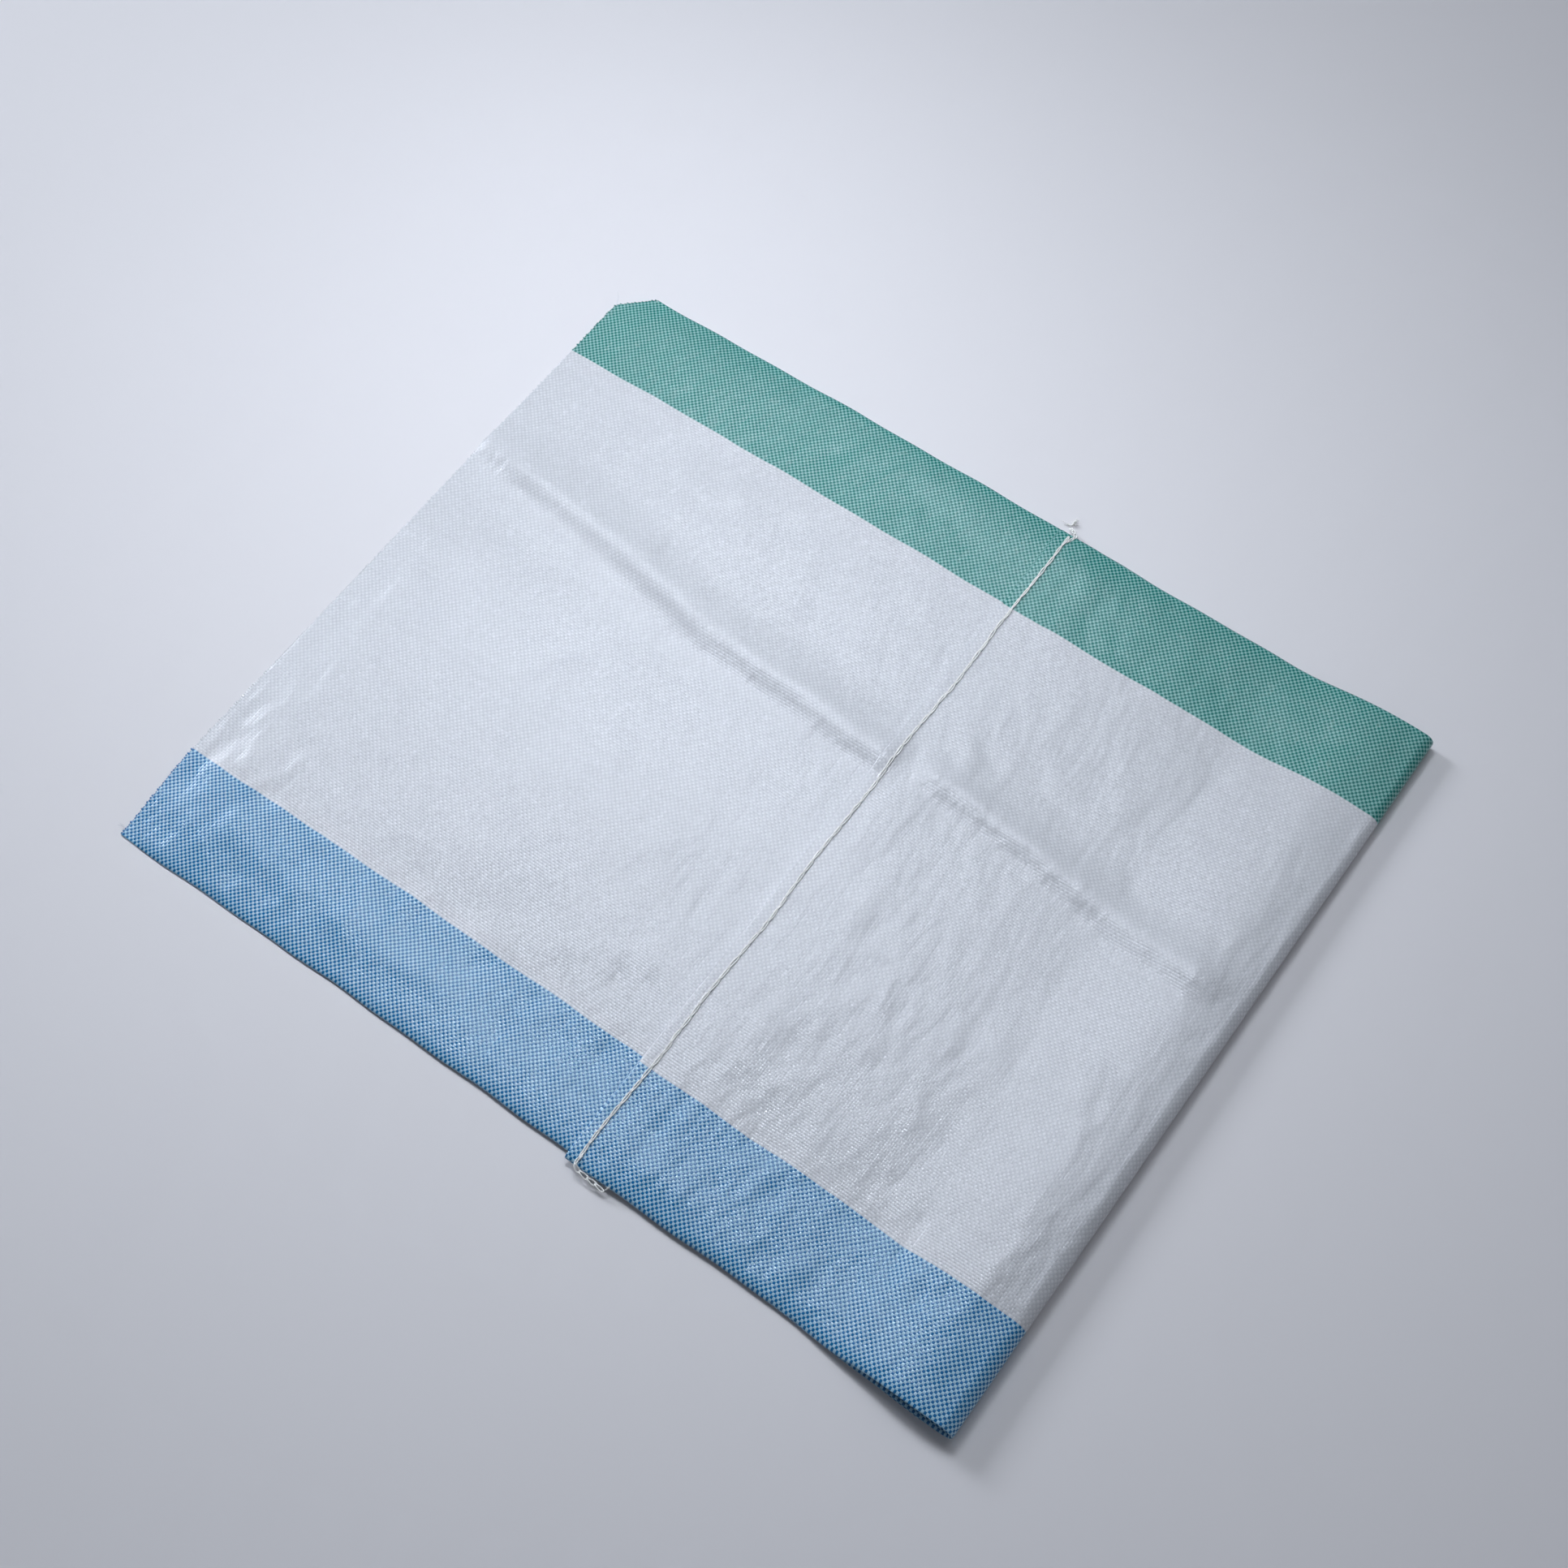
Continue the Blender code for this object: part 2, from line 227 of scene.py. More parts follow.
def fold_x(y):
    """Centre line of the fold: its outside, less its radius and the outer wall."""
    outside = LENGTH / 2 - FOLD_SKEW * (WIDTH / 2 - y) / WIDTH
    return outside - fold_radius(y) - FOLD_SPACE - CLOTH / 2


def kept_height(x, y):
    """Share of the fold's height left where it sags: 1 inside it, 1 - FOLD_SAG at its outside."""
    reach = SAG_REACH + fold_radius(y)
    return 1.0 - FOLD_SAG * ease((x - fold_x(y) + SAG_REACH) / reach)


def hem_x(y):
    """Outer edge of the hem."""
    return LENGTH / 2 - FLAP - HEM_SKEW * y / WIDTH


# %% [markdown]
# Nothing made of cloth is quite straight. The lower half leans two millimetres towards the
# green side, and the flap a little the other way. The bag is a touch wider at its fold and
# at its hem, where it has been pressed flat.

# %% Straying side edges
LEAN, LEAN_RUN = 0.0022, 0.190
LEAN_END, LEAN_RETURN = 0.040, 0.200
FOLD_WIDEN, FOLD_DRIFT = 0.0060, 0.0018
FOLD_START, FOLD_RUN = 0.150, 0.160
HEM_WIDEN, HEM_DRIFT, HEM_DRIFT_RUN = 0.0030, 0.0011, 0.155
EDGE_WANDER = 0.0005
LONG_WANDER, SHORT_WANDER = 0.017, 0.0093


def strayed(x, y):
    """Place across the bag near a place along it: wider at the fold, with a faint wander."""
    wander = EDGE_WANDER * (np.sin(x / LONG_WANDER) + np.sin(x / SHORT_WANDER + 1.0)) / 2
    at_fold = ease((x - FOLD_START) / FOLD_RUN)
    return y * (1.0 + at_fold * FOLD_WIDEN / WIDTH) - at_fold * FOLD_DRIFT - wander


def lower_y(x, y):
    """The same in the lower half, which leans to +Y between the mouth and the fold."""
    lean = ease((x - mouth_x(y)) / LEAN_RUN) - ease((x - LEAN_END) / LEAN_RETURN)
    return strayed(x, y) + LEAN * lean


def flap_y(x, y):
    """The same in the flap, which grows wider towards its hem and drifts to -Y there."""
    to_hem = np.clip((fold_x(y) - x) / (fold_x(y) - hem_x(y) - HEM - HEM_SLOPE), 0.0, 1.0)
    at_hem = 1.0 - ease((x - hem_x(y)) / HEM_DRIFT_RUN)
    return strayed(x, y) + y * to_hem * HEM_WIDEN / WIDTH - HEM_DRIFT * at_hem


# %% [markdown]
# ## Creases, dents and swells
#
# The main creases are listed one by one. One long crease runs from the mouth to the fold near
# the middle, where the bag was once folded lengthwise. A second lies just inside the mouth.
# The hem's cut end shows through as a crinkled line, and the flap is crumpled beside it.

# %% Creases of the lower half, in millimetres: line, left width, right width, height
LOWER_CREASES = (
    (((-318, 99), (-240, 91), (-166, 77.5), (-112, 66), (-61, 62.5), (40, 55)), 20, 6.5, 3.9),
    (((-300, 62), (-240, 55), (-170, 42), (-110, 36)), 18, 22, -1.0),
    (((-306, 193), (-305, 150), (-316, 118), (-309, 70), (-309, 28), (-308, -60), (-310, -157),
      (-311, -225)), 8, 7, -0.5),
    (((-297, 166), (-295, 152), (-289, 143)), 4, 4, -0.8),
    (((-284, 134), (-277, 132)), 3.5, 3.5, -0.6),
    (((-286, 112), (-277, 109)), 3.5, 3.5, -0.7),
    (((-165, -12), (-163, -40), (-159, -70)), 5, 14, 0.9),
    (((-183, 155), (-181, 125), (-177, 97)), 6, 14, 0.9),
    (((-136, 8), (-134, -10)), 5, 9, 0.6),
    (((-99, -38), (-97, -62)), 5, 10, 0.6),
    (((-237, 155), (-235, 140)), 5, 9, 0.5),
    (((-262, -22), (-260, -48)), 5, 10, 0.5),
    (((-83, 160), (-80, 135)), 6, 12, 0.6),
    (((-262, -236), (-200, -241), (-130, -244), (-92, -243)), 14, 5, 1.0),
    (((-60, -190), (10, -150)), 14, 8, 0.7),
)
LOWER_SWELLS = ((0.31, 0.23, 0.05, 0.03, 0.0011), (0.17, 0.29, 0.02, 0.11, 0.0007))

# Limits along and across, number, depth, half length, half width.
LOWER_DENTS = (
    (-315, 30, -200, -70, 170, 0.90, 9, 4),
    (-315, 30, -70, 50, 60, 0.54, 11, 5),
    (-315, 30, 90, 200, 65, 0.54, 10, 5),
    (-315, 30, -268, -200, 60, 0.90, 9, 6),
    (-290, 30, 205, 265, 45, 0.51, 9, 5),
)

# %% The same for the flap
FLAP_CREASES = (
    (((68, 63), (90, 61.5), (145, 56.5), (218, 46), (282, 38.5), (316, 37)), 16, 5, 3.4),
    (((71, 111), (96, 83)), 5, 5, 1.1),
    (((105, 107), (115, 116), (128, 119), (141, 113), (149, 101), (151, 86), (149, 74)),
     5, 5, 0.5),
    (((170, 149), (181, 137)), 4, 7, 0.5),
    (((189, 120), (190, 98)), 5, 10, 0.5),
    (((101, 97), (109, 93)), 4, 4, -0.6),
    (((81, 44), (82, 28), (81, 12)), 5, 9, 0.7),
    (((97, -10), (97, -56)), 5, 12, 0.6),
    (((270, -52), (285, -88)), 5, 9, 0.9),
    (((218, -62), (220, -92)), 5, 10, 0.8),
    (((135, -77), (150, -90)), 4, 7, 0.6),
    (((90, -128), (89, -196), (88, -262)), 12, 4.5, 0.8),
    (((73, -95), (71, -150), (70, -262)), 4.5, 5, 0.6),
    (((79, 205), (79, 262)), 4.5, 14, 1.0),
    (((150, -215), (152, -258)), 5, 10, 0.5),
    (((232, 215), (228, 255)), 6, 10, 0.5),
)
FLAP_SWELLS = ((0.24, 0.27, 0.04, 0.09, 0.0010), (0.15, 0.19, 0.01, 0.02, 0.0006))
FLAP_DENTS = (
    (105, 300, -200, -45, 120, 0.81, 9, 4),
    (110, 305, -45, 200, 80, 0.48, 10, 5),
    (75, 305, -268, -200, 60, 0.90, 9, 5),
    (100, 300, 205, 262, 36, 0.51, 9, 5),
)

# %% [markdown]
# ## Heights
#
# The lower half rests on the floor, and the flap rests on it. So the heights are built up
# in that order: floor, lower wall, space, upper wall, then the flap with its own space. The
# blue edge is lifted a little off the floor, and that throws the soft shadow under it.

# %% The lower half
LOWER_SPACE = 0.00105  # half the space between the walls of the lower half
MOUTH_SPACE = 0.00028  # and at the mouth, where they lie together
MOUTH_RUN, NARROW_RUN = 0.030, 0.080  # runs of that space at the mouth and at the fold
EDGE_BEND = 0.0065  # how far from a side edge the upper wall bends down
EDGE_FADE = 0.022  # how far from a side edge creases fade out
EDGE_LIFT_NEAR = 0.0021
EDGE_LIFT_FAR = 0.0018
LIFT_REACH = 0.060
LIFT_X, LIFT_SPREAD = 0.050, 0.210
FORM_FADE = 0.090  # how far under the flap the large forms fade out
RELIEF_SHORT, RELIEF_FADE = 0.006, 0.014  # and the small ones, from before the hem
TIGHT = 0.00010  # least air between two walls


def edge_share(y, reach):
    """0 at the side edges, 1 further in than `reach`."""
    return ease((HALF_WIDTH - np.abs(y)) / reach)


def lift(x, y):
    """A side edge's lift off the floor: a bell along the bag times an ease across it."""
    along = np.exp(-((x - LIFT_X) / LIFT_SPREAD) ** 2)
    across = ease((np.abs(y) - HALF_WIDTH + LIFT_REACH) / LIFT_REACH)
    return np.where(y < 0, EDGE_LIFT_NEAR, EDGE_LIFT_FAR) * along * across


def rounded(space, y):
    """Half space that narrows to the edge space as a quarter ellipse, so the edge is blunt."""
    inset = np.clip(1.0 - (HALF_WIDTH - np.abs(y)) / EDGE_BEND, 0.0, 1.0)
    return between(EDGE_SPACE, space, np.sqrt(1.0 - inset ** 2))


def lower_space(x, y):
    """Half the space between the walls: little at the mouth, most in the middle."""
    open_up = ease((x - mouth_x(y)) / MOUTH_RUN)
    narrow = ease((x - (fold_x(y) - NARROW_RUN)) / NARROW_RUN)
    space = between(MOUTH_SPACE, LOWER_SPACE, open_up)
    return rounded(between(space, FOLD_SPACE, narrow), y)


def lower_form(x, y):
    """Large forms of the lower half's upper wall: main crease and swells, gone by the fold."""
    folds = ridges(x, y, LOWER_CREASES[:1]) + swells(x, y, LOWER_SWELLS)
    return folds * edge_share(y, EDGE_FADE) * (1.0 - ease((x - hem_x(y) - HEM) / FORM_FADE))


def lower_relief(x, y):
    """Other creases and dents, which end at the hem that lies on them."""
    small = ridges(x, y, LOWER_CREASES[1:])
    small += dents(x, y, LOWER_DENTS, np.random.default_rng(11))
    at_hem = ease((x - hem_x(y) + RELIEF_SHORT) / RELIEF_FADE)
    return small * edge_share(y, EDGE_FADE) * (1.0 - at_hem)


def lower_mid(x, y):
    """Middle surface of the lower half: the lower wall lies on the floor."""
    return CLOTH / 2 + lift(x, y) + lower_space(x, y)


def lower_top(x, y):
    """Top of the lower half without its dents, where the flap can rest."""
    return lower_mid(x, y) + lower_space(x, y) + lower_form(x, y) + CLOTH / 2


# %% [markdown]
# The flap starts as the fold's upper side and comes down over a hand's width until it lies
# on the lower half. At the hem there are two walls turned under two more, pressed hard, so
# the hem is a firm flat strip. It still waves a little along its length.

# %% The flap and the hem
FLAP_SPACE = 0.00080
HEM_SPACE = 0.00034  # half the space between the walls over the hem
TURNED_SPACE = 0.00030
HEM_RADIUS = (HEM_SPACE + TURNED_SPACE + CLOTH + 2 * TIGHT) / 2
FOLD_FALL = 0.105  # how far the flap takes to come down from the fold
FLAP_NARROW, FLAP_FADE = 0.060, 0.030  # runs of its space and its relief at the fold
HEM_WAVE, HEM_WAVE_LENGTH, HEM_WAVE_SHIFT = 0.0009, 0.24, -0.03
CUT_RIDGE, CUT_RIDGE_WIDTH = 0.00045, 0.0022
CUT_JAG = 0.0009
CUT_JAGS = ((1.0, 0.0061, 0.0), (0.7, 0.0037, 2.0), (0.5, 0.0151, 0.6))  # share, run, shift
CRUMPLE, CRUMPLE_SWING = 0.55, 0.45
CRUMPLE_LONG, CRUMPLE_SHORT = 0.021, 0.0083
STITCH_IN = 0.0082  # from the edge of the hem to the stitch
STITCH_SINK, STITCH_SINK_WIDTH = 0.00022, 0.0022


def over_hem(x, y):
    """1 over the turned-under cloth, eased to 0 beyond it."""
    return 1.0 - ease((x - hem_x(y) - HEM) / HEM_SLOPE)


def flap_space(x, y):
    """Half the space between the flap's walls: fold, then flap, then hem."""
    near_fold = ease((x - fold_x(y) + FLAP_NARROW) / FLAP_NARROW)
    space = between(FLAP_SPACE, FOLD_SPACE, near_fold)
    return rounded(between(space, HEM_SPACE, over_hem(x, y)), y)


def cut_end(y):
    """Place of the turned-under cloth's cut end, which frays in and out."""
    jag = sum(share * np.sin(y / run + phase) for share, run, phase in CUT_JAGS)
    return hem_x(y) + HEM + CUT_JAG * jag


def flap_mid(x, y):
    """Middle surface of the flap: what it lies on, plus the hem's stack, plus the loop."""
    space = flap_space(x, y)
    stack = TURNED_SPACE + 2 * HEM_RADIUS
    rest = lower_top(x, y) + GAP + CLOTH / 2
    lying = rest + space + (stack - space) * over_hem(x, y)
    centre = fold_x(y)
    standing = lower_mid(centre, y) + 2 * fold_radius(y)
    at_fold = lower_top(centre, y) + GAP + CLOTH / 2 + flap_space(centre, y)
    down = ease((centre - x) / FOLD_FALL)
    wave = HEM_WAVE * (1.0 + np.sin(math.tau * (y - HEM_WAVE_SHIFT) / HEM_WAVE_LENGTH)) / 2
    height = lying + (standing - at_fold) * (1.0 - down) + wave * over_hem(x, y)
    return between(lower_mid(x, y), height, kept_height(x, y))


def flap_relief(x, y):
    """Creases, swells and dents of the flap, then the marks of the hem on it."""
    folds = ridges(x, y, FLAP_CREASES) + swells(x, y, FLAP_SWELLS)
    folds += dents(x, y, FLAP_DENTS, np.random.default_rng(12))
    folds *= (1.0 - over_hem(x, y)) ** 0.5 * ease((fold_x(y) - x) / FLAP_FADE)
    crumple = CRUMPLE + CRUMPLE_SWING * np.sin(y / CRUMPLE_LONG + 1.2) * np.sin(y / CRUMPLE_SHORT)
    folds += CUT_RIDGE * crumple * np.exp(-((x - cut_end(y)) / CUT_RIDGE_WIDTH) ** 2)
    stitch = (x - hem_x(y) - STITCH_IN) / STITCH_SINK_WIDTH
    return folds * edge_share(y, EDGE_FADE) - STITCH_SINK * np.exp(-stitch ** 2)


# %% [markdown]
# ## The grid
#
# One direction of the grid goes once round the tube: across the outer wall, round the green
# edge, back across the inner wall, round the blue edge. The other goes along the bag. Both
# are finer where cloth bends or shows, and coarse where it is hidden. A column knows three
# things: its place across the bag, how far it is towards the outer wall (1) or the inner
# wall (-1), and how far it reaches out past the edge.

# %% Columns round the tube
EDGE_STEPS = np.array([0.0, 0.0004, 0.0012, 0.0023, 0.0037, 0.0056, 0.0085])
INNER_COLUMNS = 84
EDGE_ANGLES = np.radians([45.0, 90.0, 135.0])

inner_half = HALF_WIDTH - EDGE_STEPS[-1]
middle = np.linspace(-inner_half, inner_half, INNER_COLUMNS)[1:-1]
across = np.concatenate([-HALF_WIDTH + EDGE_STEPS, middle, HALF_WIDTH - EDGE_STEPS[::-1]])


def round_tube(*values):
    """Column values, given for the outer wall, green edge, inner wall and blue edge in turn."""
    counts = (len(across), len(EDGE_ANGLES)) * 2
    return np.concatenate([np.broadcast_to(value, count) for value, count in zip(values, counts)])


column_y = round_tube(across, HALF_WIDTH, across[::-1], -HALF_WIDTH)
column_wall = round_tube(1.0, np.cos(EDGE_ANGLES), -1.0, -np.cos(EDGE_ANGLES))
column_reach = round_tube(0.0, np.sin(EDGE_ANGLES), 0.0, -np.sin(EDGE_ANGLES))

# Tapes counted round the tube from the blue edge: 0 there, 300 at the green edge.
half_count = TAPES_ROUND / 2
outer_tapes = (across + HALF_WIDTH) / (2 * HALF_WIDTH) * half_count
column_tape = round_tube(outer_tapes, half_count, TAPES_ROUND - outer_tapes[::-1], TAPES_ROUND)
print("columns round the tube:", len(column_y))

# %% Rows along the bag
SHOWN_PITCH = 0.0036
HIDDEN_PITCH = 0.014
HEM_PITCH, HEM_SLOPE_PITCH = 0.0015, 0.0024
HEM_FINE, CUT_FINE = 0.006, 0.0004  # fine rows past the cut end, and the last step to it
PAST_HEM = 0.010  # how far under the hem the fine rows of the lower half run
MOUTH_ROWS = (0.0, 0.0004, 0.0015)
FOLD_STEPS = 14
HEM_STEPS = 6


def steps(start, end, pitch):
    """Even places from start to end, end left out, about a pitch apart."""
    return np.linspace(start, end, max(2, round(abs(end - start) / pitch) + 1))[:-1]


mouth_to_hem = LENGTH - FLAP
lower_length = LENGTH - FOLD_RADIUS_HIGH - FOLD_SPACE
lower_places = np.concatenate([
    np.array(MOUTH_ROWS),
    steps(SHOWN_PITCH, mouth_to_hem + PAST_HEM, SHOWN_PITCH),
    steps(mouth_to_hem + PAST_HEM, lower_length, HIDDEN_PITCH),
]) / lower_length
fold_places = np.linspace(-math.pi / 2, math.pi / 2, FOLD_STEPS + 1)[:-1]
flap_places = steps(0.0, 1.0, SHOWN_PITCH / (FLAP - HEM - HEM_SLOPE))
hem_inner = HEM_RADIUS + HEM_SPACE + CLOTH / 2
hem_places = np.concatenate([steps(HEM + HEM_SLOPE, HEM + HEM_FINE, HEM_SLOPE_PITCH),
                             steps(HEM + HEM_FINE, hem_inner, HEM_PITCH)])
turn_places = np.linspace(math.pi / 2, 3 * math.pi / 2, HEM_STEPS + 1)[:-1]
turned_places = np.array([hem_inner, HEM / 2, HEM - CUT_FINE, HEM])
print("rows:", sum(map(len, (lower_places, fold_places, flap_places, hem_places,
                             turn_places, turned_places))))


# %% [markdown]
# Each stretch below returns its rows in the same form: the middle surface's place along the
# bag and its height, the direction of the outer wall there, half the space between the
# walls, the relief that stands on whichever wall faces up, and the place across the bag.
# The parts are then stacked and one formula makes the points.


# %% Stretches of the middle surface
def lower_rows(y):
    """From the mouth to the fold: flat, with the outer wall below."""
    x = mouth_x(y) + lower_places[:, None] * (fold_x(y) - mouth_x(y))
    space = lower_space(x, y)
    relief = lower_form(x, y) + lower_relief(x, y)
    return x, lower_mid(x, y), 0 * x, 0 * x - 1, space, relief, lower_y(x, y)


def fold_rows(y):
    """Half a turn about the fold's centre line, with the outer wall outside."""
    angle = fold_places[:, None] + 0 * y
    radius, centre = fold_radius(y), fold_x(y)
    x = centre + radius * np.cos(angle)
    z = lower_mid(centre, y) + radius * (1.0 + np.sin(angle)) * kept_height(x, y)
    space = lower_space(centre, y) + 0 * angle
    return x, z, np.cos(angle), np.sin(angle), space, 0 * x, strayed(x, y)


def flap_rows(y):
    """From the fold back to the hem's edge, with the outer wall on top."""
    slope_end = hem_x(y) + HEM + HEM_SLOPE
    from_fold = fold_x(y) + flap_places[:, None] * (slope_end - fold_x(y))
    x = np.concatenate([from_fold, hem_x(y) + hem_places[:, None]])
    space = flap_space(x, y)
    return x, flap_mid(x, y), 0 * x, 0 * x + 1, space, flap_relief(x, y), flap_y(x, y)


def turn_rows(y):
    """Half a turn at the hem's edge, over and under."""
    angle = turn_places[:, None] + 0 * y
    centre = hem_x(y) + hem_inner
    x = centre + HEM_RADIUS * np.cos(angle)
    z = flap_mid(centre, y) - HEM_RADIUS + HEM_RADIUS * np.sin(angle)
    share = (angle - math.pi / 2) / math.pi
    space = flap_space(centre, y) * (1.0 - share) + rounded(TURNED_SPACE, y) * share
    return x, z, np.cos(angle), np.sin(angle), space, 0 * x, flap_y(x, y)


def turned_rows(y):
    """The turned-under cloth, with the outer wall below."""
    x = hem_x(y) + turned_places[:, None]
    z = flap_mid(x, y) - 2 * HEM_RADIUS
    return x, z, 0 * x, 0 * x - 1, rounded(TURNED_SPACE, y) + 0 * x, 0 * x, flap_y(x, y)


# %% All rows together
makers = (lower_rows, fold_rows, flap_rows, turn_rows, turned_rows)
stretches = [make(column_y) for make in makers]
mid_x, mid_z, out_x, out_z, half_space, relief, mid_y = (
    np.concatenate(parts) for parts in zip(*stretches)
)
print("grid of the tube:", mid_x.shape)

# %% [markdown]
# The points follow from one line of sums: middle surface, plus the wall's share of the
# half space along the outward direction. The relief is added to the wall that faces up, and
# is held back where it would press one wall through the other.

# %% Points of the tube
wall = column_wall[None, :]
faces_up = np.clip(wall * out_z, 0.0, 1.0)
lowest_relief = CLOTH + TIGHT - 2 * half_space
raised = np.maximum(relief, np.minimum(lowest_relief, 0.0)) * faces_up

point_x = mid_x + wall * half_space * out_x
point_z = mid_z + wall * half_space * out_z + raised
point_y = mid_y + column_reach * EDGE_SPACE
tube = np.stack([point_x, point_y, point_z], axis=-1)

# Set the tube on the solid cloth, box middle on box middle.
ground_plan = tube[..., :2].reshape(-1, 2)
tube_middle = (ground_plan.min(0) + ground_plan.max(0)) / 2
solid_middle = np.array([(cloth_low[i] + cloth_high[i]) / 2 for i in range(2)])
shift = np.append(solid_middle - tube_middle, 0.0)
tube += shift
print("shift onto the solid, mm:", np.round(shift * 1000, 2))

# %% [markdown]
# The weave has to follow the cloth round every fold, so the mesh carries its own
# coordinates: tapes counted round the tube, and crossing tapes counted along it. The count
# along is the length of the middle surface so far, divided by the pitch. It starts where a
# square cut would have been, so the slanted mouth cuts across the weave, as scissors do.

# %% Tape coordinates
walked = np.hypot(np.diff(mid_x, axis=0), np.diff(mid_z, axis=0)).cumsum(axis=0)
walked = np.concatenate([np.zeros((1, walked.shape[1])), walked])
weft_count = (mouth_x(column_y) + LENGTH / 2 + walked) / WEFT_PITCH
print("crossing tapes along the bag:", round(float(weft_count.max())))


# %% [markdown]
# ## From grids to meshes
#
# One function turns any stack of grids into a mesh. A grid may close on itself in either
# direction, as the tube does round the bag. The tape coordinates then need one more column
# than the points, and so they are kept on face corners.


# %% Mesh from grids
def add_object(name, data):
    """Put data into the scene as an object."""
    piece = bpy.data.objects.new(name, data)
    bpy.context.scene.collection.objects.link(piece)
    return piece


def mesh_from_grids(name, points, values, rows_close=False, columns_close=False):
    """Make an object from points (grids, rows, columns, 3) and corner values (..., 2).

    Values have one more row or column than the points where a grid closes.
    """
    grids, rows, columns, _ = points.shape
    shape = (rows - 1 + rows_close, columns - 1 + columns_close)
    row, column = np.indices(shape).reshape(2, -1, 1)
    row, column = row + np.array([0, 0, 1, 1]), column + np.array([0, 1, 1, 0])
    one = (row % rows) * columns + column % columns
    faces = (np.arange(grids)[:, None, None] * rows * columns + one).reshape(-1, 4)
    mesh = bpy.data.meshes.new(name)
    mesh.vertices.add(grids * rows * columns)
    mesh.vertices.foreach_set("co", points.astype(np.float32).ravel())
    mesh.loops.add(faces.size)
    mesh.loops.foreach_set("vertex_index", faces.astype(np.int32).ravel())
    mesh.polygons.add(len(faces))
    mesh.polygons.foreach_set("loop_start", np.arange(0, faces.size, 4, dtype=np.int32))
    layer = mesh.uv_layers.new(name="tapes")
    layer.data.foreach_set("uv", values[:, row, column].astype(np.float32).ravel())
    mesh.update(calc_edges=True)
    mesh.validate()
    mesh.shade_smooth()
    return add_object(name, mesh)


def count_triangles(piece):
    """Triangles of a piece with its modifiers."""
    shown = piece.evaluated_get(bpy.context.evaluated_depsgraph_get())
    return len(shown.data.loop_triangles)


# %% [markdown]
# Solidify gives the tube its wall. A wall of 0.3 mm is a little more than the real cloth,
# and it makes the piece a sound closed solid with a real edge at the mouth.

# %% The bag's cloth
closed_tape = np.append(column_tape, TAPES_ROUND)
closed_weft = np.concatenate([weft_count, weft_count[:, :1]], axis=1)
tape_values = np.stack(np.broadcast_arrays(closed_tape, closed_weft), axis=-1)
bag = mesh_from_grids("woven_bag", tube[None], tape_values[None], columns_close=True)
wall_modifier = bag.modifiers.new("wall", "SOLIDIFY")
wall_modifier.thickness = CLOTH
wall_modifier.offset = 0.0
wall_modifier.use_even_offset = False
print("triangles in the bag:", count_triangles(bag))

# %% [markdown]
# ## The cloth's finish
#
# In plain weave every crossing shows either the lengthwise tape or the crossing one, like
# the squares of a chessboard. The product of two sines, one for each direction, is
# positive on one colour of square and negative on the other. Its size is largest in the
# middle of a square, so the same number gives the pillow shape of each crossing.
#
# The lengthwise tapes are coloured in the two bands. The crossing ones are pale all through
# and slightly see-through, so there they take on some of the band's colour.
#
# A node below joins the tree that its values come from, so no tree has to be named.


# %% Node helpers
def new_material(name, roughness, shine=0.5):
    """A new material, its Principled shader and the place on the piece."""
    material = bpy.data.materials.new(name)
    material.use_nodes = True
    nodes = material.node_tree.nodes
    shader = nodes["Principled BSDF"]
    plug(shader, "Roughness", roughness)
    plug(shader, "Specular IOR Level", shine)
    return material, shader, nodes.new("ShaderNodeTexCoord").outputs["Object"]


def is_socket(value):
    """Whether a value comes from a node."""
    return isinstance(value, bpy.types.NodeSocket)


def plug(node, name, value):
    """Put a number, a colour or another node's output into a node's socket."""
    socket = node.inputs[name]
    if is_socket(value):
        node.id_data.links.new(value, socket)
    else:
        socket.default_value = (*value, 1.0) if socket.type == "RGBA" else value


def add_node(kind, values, **settings):
    """A new node's outputs. Values is a list for its first sockets, or a table by socket."""
    table = values if isinstance(values, dict) else dict(enumerate(values))
    tree = next(value.id_data for value in table.values() if is_socket(value))
    node = tree.nodes.new("ShaderNode" + kind)
    for setting, value in settings.items():
        setattr(node, setting, value)
    for name, value in table.items():
        plug(node, name, value)
    return node.outputs


def maths(operation, *values):
    """A Math node on up to three values."""
    return add_node("Math", values, operation=operation)[0]


def times(first, second):
    """One value times another."""
    return maths("MULTIPLY", first, second)


def vectors(operation, first, second=(0.0, 0.0, 0.0)):
    """A Vector Math node. Scaling takes a number as its second value."""
    values = {0: first, "Scale" if operation == "SCALE" else 1: second}
    return add_node("VectorMath", values, operation=operation)[0]


def remap(value, low, high, new_low, new_high, how="LINEAR"):
    """A Map Range node, clamped."""
    return add_node("MapRange", (value, low, high, new_low, new_high), interpolation_type=how)[0]


def blend_colours(share, first, second):
    """A Mix node on two colours."""
    return add_node("Mix", {0: share, 6: first, 7: second}, data_type="RGBA")[2]


# %% Patterns and bumps
def noise(where, scale, detail=2.0):
    """A Noise node's value."""
    return add_node("TexNoise", {"Vector": where, "Scale": scale, "Detail": detail})["Fac"]


def chance(first, second, kind="Value"):
    """A White Noise node: one steady random value for each pair of whole numbers."""
    pair = add_node("CombineXYZ", (first, second))[0]
    return add_node("TexWhiteNoise", {"Vector": pair}, noise_dimensions="2D")[kind]


def bump(height, strength, distance, **normal):
    """A Bump node's normal, built on another normal where one is given as Normal."""
    values = {"Strength": strength, "Distance": distance, "Height": height, **normal}
    return add_node("Bump", values)[0]


def tapes_on(material):
    """The mesh's own two coordinates."""
    where = material.node_tree.nodes.new("ShaderNodeUVMap")
    where.uv_map = "tapes"
    return add_node("SeparateXYZ", where.outputs[:1])


